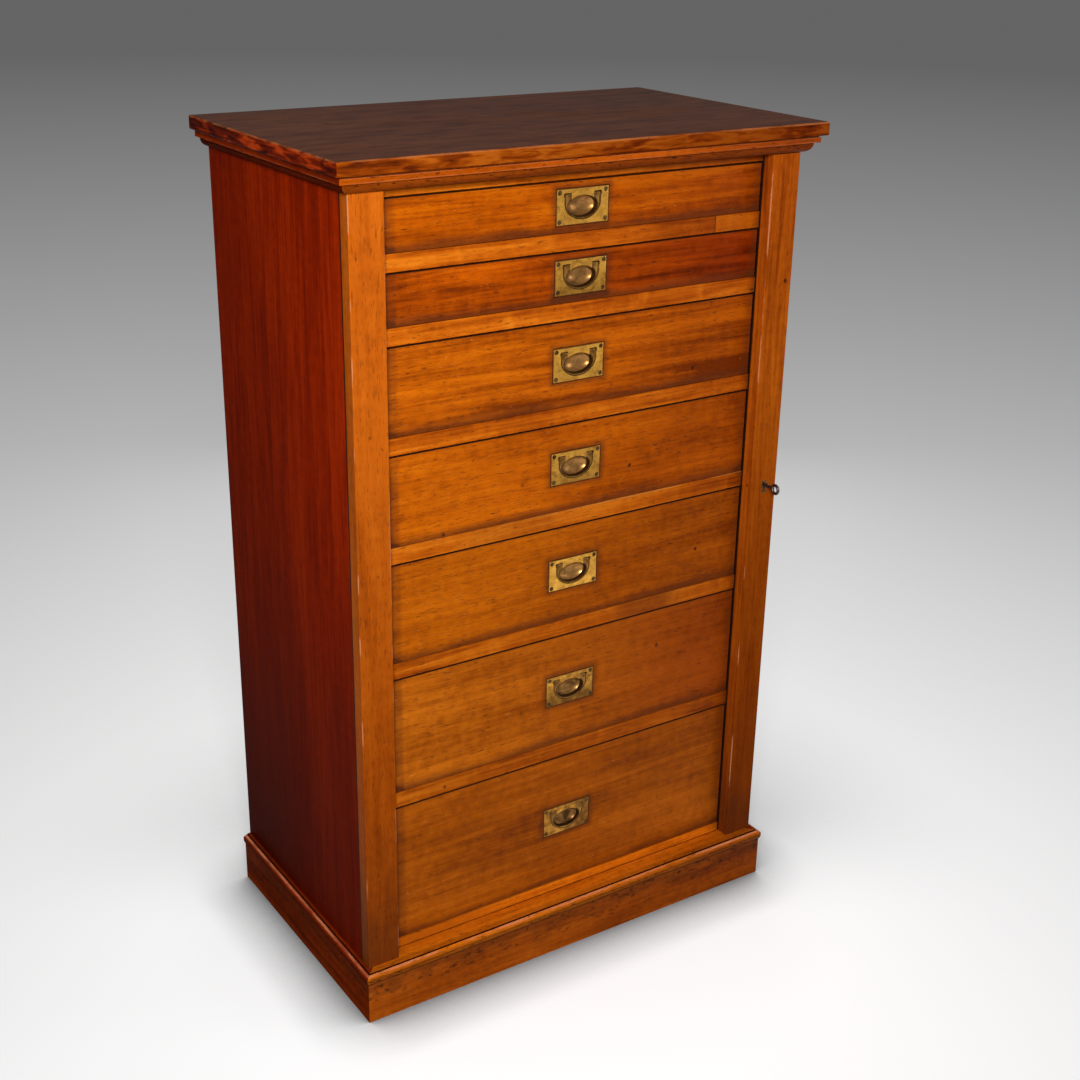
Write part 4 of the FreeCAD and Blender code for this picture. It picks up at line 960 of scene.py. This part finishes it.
def round_edges(piece, width, segments=2, angle=35):
    """Bevel the edges where two faces meet at more than some angle."""
    use_only(piece)
    work = piece.modifiers.new("edges", "BEVEL")
    work.width = width
    work.segments = segments
    work.limit_method = "ANGLE"
    work.angle_limit = math.radians(angle)
    bpy.ops.object.modifier_apply(modifier=work.name)
    return smooth(piece, angle)


def copy_to(piece, name, shift):
    """A copy with its own mesh, shifted inside that mesh."""
    twin = bpy.data.objects.new(name, piece.data.copy())
    bpy.context.scene.collection.objects.link(twin)
    twin.data.transform(Matrix.Translation(shift))
    return twin


trial = round_edges(add_block((0, 0, 0), (0.1, 0.2, 0.3)), 0.01)
print("a trial block with its edges rounded has", len(trial.data.polygons), "faces")
bpy.data.objects.remove(trial)

# %% [markdown]
# ## The horseshoe
# The bail is a flat horseshoe, half an oval under two straight arms, and its channel is the same shape, a
# little larger. One function makes both. The outline starts as a circle, squashed to the oval. Its
# upper half is deleted, the two ends are drawn up, the outline is filled, and the face is thickened.

# %% Horseshoe
BAIL = {"half": 0.0275, "curve": 0.022, "curve_level": 0.005, "head": 0.017, "thick": 0.004, "arm": 0.0101,
        "pivot": 0.01435, "reach": 0.0013}
BOWL = {"half": 0.0225, "up": 0.014, "deep": 0.0098, "wall": 0.0016}
CLEAR = 0.0004
NO_HEIGHT = 0.0001


def select_corners(piece, wanted):
    """In edit mode, select the corners whose height passes a test."""
    mesh = bmesh.from_edit_mesh(piece.data)
    for corner in mesh.verts:
        corner.select = wanted(corner.co.z)
    mesh.select_flush_mode()
    bmesh.update_edit_mesh(piece.data)


def add_horseshoe(margin, front, back):
    """A filled horseshoe, wider than the bail by a margin, between two depths."""
    bpy.ops.object.select_all(action="DESELECT")
    bpy.ops.mesh.primitive_circle_add(vertices=72, radius=1, fill_type="NOTHING",
                                      rotation=(math.pi / 2, 0, 0))
    piece = bpy.context.object
    piece.scale = (BAIL["half"] + margin, BAIL["curve"] + margin, 1)
    settle(piece)
    bpy.ops.object.mode_set(mode="EDIT")
    select_corners(piece, lambda level: level > NO_HEIGHT)
    bpy.ops.mesh.delete(type="VERT")
    select_corners(piece, lambda level: abs(level) < NO_HEIGHT)
    rise = BAIL["head"] + margin - BAIL["curve_level"]
    bpy.ops.mesh.extrude_vertices_move(TRANSFORM_OT_translate={"value": (0, 0, rise)})
    bpy.ops.mesh.select_all(action="SELECT")
    bpy.ops.mesh.edge_face_add()
    bpy.ops.mesh.extrude_region_move(TRANSFORM_OT_translate={"value": (0, back - front, 0)})
    bpy.ops.mesh.select_all(action="SELECT")
    bpy.ops.transform.translate(value=(0, front, BAIL["curve_level"]))
    bpy.ops.mesh.normals_make_consistent(inside=False)
    bpy.ops.object.mode_set(mode="OBJECT")
    return piece


print("the bail is to be", 2000 * BAIL["half"], "mm wide")

# %% [markdown]
# ## The drop bail
# The bail turns on two short pins, and a fingertip in the bowl lifts it. It is a horseshoe with the room
# between its arms and the bowl's oval cut away, and its head is cut level with the pins, which are rods
# joined on there. The edges are rounded last, so that the joints are rounded too.

# %% Bail
BEYOND = 0.005
WIDE = 0.05


def model_bail():
    """The bail in its channel, with the plate's face at depth nought."""
    inner = BAIL["half"] - BAIL["arm"]
    past = BAIL["thick"] + BEYOND
    bail = add_horseshoe(0, 0, BAIL["thick"])
    combine(bail, add_block((-inner, -BEYOND, 0), (inner, past, BAIL["head"] + BEYOND)), "DIFFERENCE")
    opening = add_rod((0, -BEYOND, 0), (0, past, 0), 1, 64)
    opening.scale = (BOWL["half"], 1, BOWL["up"])
    combine(bail, settle(opening), "DIFFERENCE")
    combine(bail, add_block((-WIDE, -BEYOND, BAIL["pivot"]), (WIDE, past, WIDE)), "DIFFERENCE")
    pin = BAIL["thick"] / 2
    for side in (-1, 1):
        barrel = add_rod((side * inner, pin, BAIL["pivot"]),
                         (side * (BAIL["half"] + BAIL["reach"]), pin, BAIL["pivot"]), pin, 28)
        combine(bail, barrel, "UNION")
    return round_edges(bail, 0.0007, 3, 50)


bail_pattern = model_bail()
print("bail:", len(bail_pattern.data.polygons), "faces")

# %% [markdown]
# ## The handle plate
# The plate is one casting: a flat flange, a pan behind it that the bail lies in, and a finger bowl. An
# egg joined on behind makes the back of the bowl, and a smaller egg cuts the hollow. Blocks cut the
# bearings for the bail's pins, and four shallow holes take the screw heads.

# %% Plate
SCREW = {"inset": 0.0045, "radius": 0.0029, "deep": 0.0009, "slot": 0.0007}
PIN_ROOM = 0.0001
HEAD_ROOM = 0.0002
THROUGH = 0.02


def screw_spots():
    """The four screw places on a plate."""
    across = PLATE["width"] / 2 - SCREW["inset"]
    up = PLATE["height"] / 2 - SCREW["inset"]
    return [(side * across, level * up) for side in (-1, 1) for level in (-1, 1)]


def add_bearing(side, land):
    """The room for one of the bail's pins, from the land between the arms outwards."""
    ends = (side * land, side * (BAIL["half"] + BAIL["reach"] + PIN_ROOM))
    half = BAIL["thick"] / 2
    return add_block((min(ends), -BEYOND, BAIL["pivot"] - half - PIN_ROOM),
                     (max(ends), BAIL["thick"] + PIN_ROOM, BAIL["pivot"] + half + PIN_ROOM))


def model_plate():
    half = PLATE["width"] / 2
    up = PLATE["height"] / 2
    middle = PLATE["thick"] / 2
    wall = BOWL["wall"]
    plate = round_edges(add_block((-half, 0, -up), (half, PLATE["thick"], up)), 0.0007, 3)
    combine(plate, add_horseshoe(CLEAR + wall, middle, BAIL["thick"] + CLEAR + wall), "UNION")
    back = add_egg((BOWL["half"], BOWL["deep"] + wall, BOWL["up"] + wall * 0.4))
    combine(back, add_block((-WIDE, -WIDE, -WIDE), (WIDE, middle, WIDE)), "DIFFERENCE")
    combine(plate, back, "UNION")
    land = BAIL["half"] - BAIL["arm"] - CLEAR
    channel = add_horseshoe(CLEAR, -BEYOND, BAIL["thick"] + CLEAR)
    combine(channel, add_block((-land, -THROUGH, 0), (land, THROUGH, WIDE)), "DIFFERENCE")
    combine(plate, channel, "DIFFERENCE")
    for side in (-1, 1):
        combine(plate, add_bearing(side, land), "DIFFERENCE")
    hollow = add_egg((BOWL["half"] - CLEAR, BOWL["deep"], BOWL["up"] - CLEAR))
    combine(plate, hollow, "DIFFERENCE")
    for across, level in screw_spots():
        hole = add_rod((across, -BEYOND, level), (across, SCREW["deep"], level),
                       SCREW["radius"] + HEAD_ROOM, 24)
        combine(plate, hole, "DIFFERENCE")
    return smooth(plate, 40)


plate_pattern = model_plate()
print("plate:", len(plate_pattern.data.polygons), "faces")

# %% [markdown]
# ## Screws
# Each screw head is a shallow disc with a rounded rim and one slot. The slots point every way, as a
# joiner leaves them, so each copy is turned about its own middle before it is placed.

# %% Screws
SUNK = 0.0002
SLOT_DEEP = 0.0007


def model_screw():
    """A screw head at the origin that faces the front."""
    head = add_rod((0, SUNK, 0), (0, SCREW["deep"] + 0.0006, 0), SCREW["radius"], 24)
    round_edges(head, 0.0004, 2)
    across = SCREW["radius"] * 2 + 0.0002
    slot = add_block((-across, -BEYOND, -SCREW["slot"] / 2), (across, SLOT_DEEP, SCREW["slot"] / 2))
    combine(head, slot, "DIFFERENCE")
    return smooth(head, 35)


screw_pattern = model_screw()
steel = metal_finish("screw_steel", (0.32, 0.18, 0.07), (0.05, 0.028, 0.012), 98.0, 0.45, 0.65)
screw_pattern.data.materials.append(steel)
print("screw head:", len(screw_pattern.data.polygons), "faces")

# %% [markdown]
# ## The look of the handles
# A plate is dark along its rim and walls, and its bowl and channel are copper brown. The bail is dark
# where it meets the channel. The patina and the shade at the foot and on the right differ from plate to
# plate. Ovals and heights measured from the plate's middle give all of these masks.

# %% Look of the handles
def oval(x, z, middle, half, up):
    """How far out a place is, with one on the oval."""
    return ((x / half) ** 2 + ((z - middle) / up) ** 2) ** 0.5


def plate_overlay(face, centre, foot, right):
    """A copper-brown bowl and channel, a dark rim, and shade at the foot and on the right."""
    def overlay(spot, worn, colour):
        x, y, z = axes_of(spot)
        shade = ((z - centre).step(0.004, -0.016) * foot).maths("MAXIMUM", x.step(-0.005, 0.03) * right)
        colour = shade.mix(colour, (0.10, 0.035, 0.006))
        deep = y.step(face + 0.0004, face + 0.0010)
        colour = deep.mix(colour, worn.mix(BOWL_BRIGHT, BOWL_DARK))
        wall = y.band(face + 0.0013, 0.0006, 0.0005)
        bowl_rim = oval(x, z, centre, BOWL["half"], BOWL["up"]).band(0.96, 0.05, 0.05)
        outline = (wall + bowl_rim * deep).limit()
        colour = (outline * 0.85).mix(colour, (0.03, 0.012, 0.004))
        half = PLATE["width"] / 2
        up = PLATE["height"] / 2
        rim = abs(x).step(half - 0.0014, half - 0.0002)
        rim = rim.maths("MAXIMUM", abs(z - centre).step(up - 0.0014, up - 0.0002))
        return (rim * 0.75).mix(colour, dim(BRASS_DARK, 0.7))
    return overlay


def bail_overlay(centre):
    """A dark outline where the bail meets its channel."""
    def overlay(spot, worn, colour):
        x, y, z = axes_of(spot)
        drop = (z - centre - BAIL["curve_level"]).maths("MINIMUM", 0)
        outer = ((x / BAIL["half"]) ** 2 + (drop / BAIL["curve"]) ** 2) ** 0.5
        inner = oval(x, z, centre, BOWL["half"], BOWL["up"])
        outline = (outer.step(0.90, 0.98) + inner.step(1.10, 1.02)).limit()
        return (outline * 0.8).mix(colour, (0.04, 0.016, 0.005))
    return overlay


# For each drawer: the amount of patina, and the shade at the foot and on the right.
PLATE_PATINA_AND_SHADE = {1: (0.28, 0, 0), 2: (0.40, 0.35, 0), 3: (0.28, 0.1, 0), 4: (0.36, 0.4, 0.2),
                5: (0.24, 0, 0), 6: (0.60, 0.7, 0.2), 7: (0.74, 0.1, 0.6)}
print("the brownest plate is on drawer", max(PLATE_PATINA_AND_SHADE, key=PLATE_PATINA_AND_SHADE.get))

# %% [markdown]
# ## Handles on the drawers
# Each drawer gets a plate, a bail and four screws. The plate and its screws ride on the drawer, and the
# bail on a body of its own, which swings. Plate and bail replace the CAD nodes that they are made after.

# %% Handles on the drawers
SLOT_TURN = 2.4

for number in DRAWERS:
    low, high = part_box(f"drawer_{number}_plate")
    centre = (low.z + high.z) / 2
    seat = Vector((0, low.y, centre))
    body = f"drawer_{number}"
    plate = copy_to(plate_pattern, f"handle_plate_{number}", seat)
    patina, foot, right = PLATE_PATINA_AND_SHADE[number]
    overlay = plate_overlay(low.y, centre, foot, right)
    plate.data.materials.append(metal_finish(f"plate_brass_{number}", BRASS, BRASS_DARK, 100.0 + number,
                                             0.30, patina, overlay, 0.72, 0.05))
    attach(plate, body)
    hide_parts(f"drawer_{number}_plate")
    bail = copy_to(bail_pattern, f"handle_bail_{number}", seat)
    bail.data.materials.append(metal_finish(f"bail_brass_{number}", BAIL_BRIGHT, BAIL_DARK,
                                            110.0 + number, 0.30, 0.4, bail_overlay(centre), 0.85, 0.1))
    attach(bail, f"bail_{number}")
    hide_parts(f"drawer_{number}_bail")
    for place, (across, level) in enumerate(screw_spots(), start=1):
        screw = copy_to(screw_pattern, f"screw_{number}_{place}", (0, 0, 0))
        screw.data.transform(Matrix.Rotation(SLOT_TURN * (number * 4 + place), 4, "Y"))
        screw.data.transform(Matrix.Translation(seat + Vector((across, 0, level))))
        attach(screw, body)
print("placed", len(DRAWERS), "handles")
for pattern in (plate_pattern, bail_pattern, screw_pattern):
    bpy.data.objects.remove(pattern)

# %% [markdown]
# ## The key
# The key stands in the lock with its ring bow upright. The bow is a torus, the shank a rod with three
# turned collars, and the bit a small plate near its far end. They are joined into one piece.

# %% Key
BOW = {"radius": 0.0061, "wire": 0.0022}
SHANK_RADIUS = 0.0024
# Each collar has a start in front of the stile's face, a radius and a length.
COLLARS = ((0.0075, 0.0037, 0.0026), (0.0115, 0.0030, 0.0012), (0.0045, 0.0030, 0.0012))
BIT = {"half": 0.0011, "start": 0.0076, "end": 0.0031}

key_low, key_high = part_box("key")
stile_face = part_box("locking_stile")[0].y
bow_reach = BOW["radius"] + BOW["wire"]
line = (key_low.x + key_high.x) / 2
level = key_high.z - bow_reach
bow_depth = key_low.y + bow_reach

bpy.ops.object.select_all(action="DESELECT")
bpy.ops.mesh.primitive_torus_add(major_segments=48, minor_segments=14, major_radius=BOW["radius"],
                                 minor_radius=BOW["wire"], location=(line, bow_depth, level),
                                 rotation=(0, math.pi / 2, 0))
key = settle(bpy.context.object)
key.name = "key_steel"
shank_start = bow_depth + BOW["radius"]
combine(key, add_rod((line, shank_start, level), (line, key_high.y, level), SHANK_RADIUS, 28), "UNION")
for ahead, radius, length in COLLARS:
    start = stile_face - ahead
    collar = add_rod((line, start, level), (line, start + length, level), radius)
    combine(key, round_edges(collar, 0.0004, 2), "UNION")
bit = add_block((line - BIT["half"], key_high.y - BIT["start"], key_low.z),
                (line + BIT["half"], key_high.y - BIT["end"], level))
combine(key, bit, "UNION")
smooth(key, 40)
key.data.materials.append(metal_finish("key_metal", (0.20, 0.15, 0.13), STEEL_DARK, 99.0, 0.28, 0.45))
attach(key, "key")
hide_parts("key")
print("key:", len(key.data.polygons), "faces")

# %% [markdown]
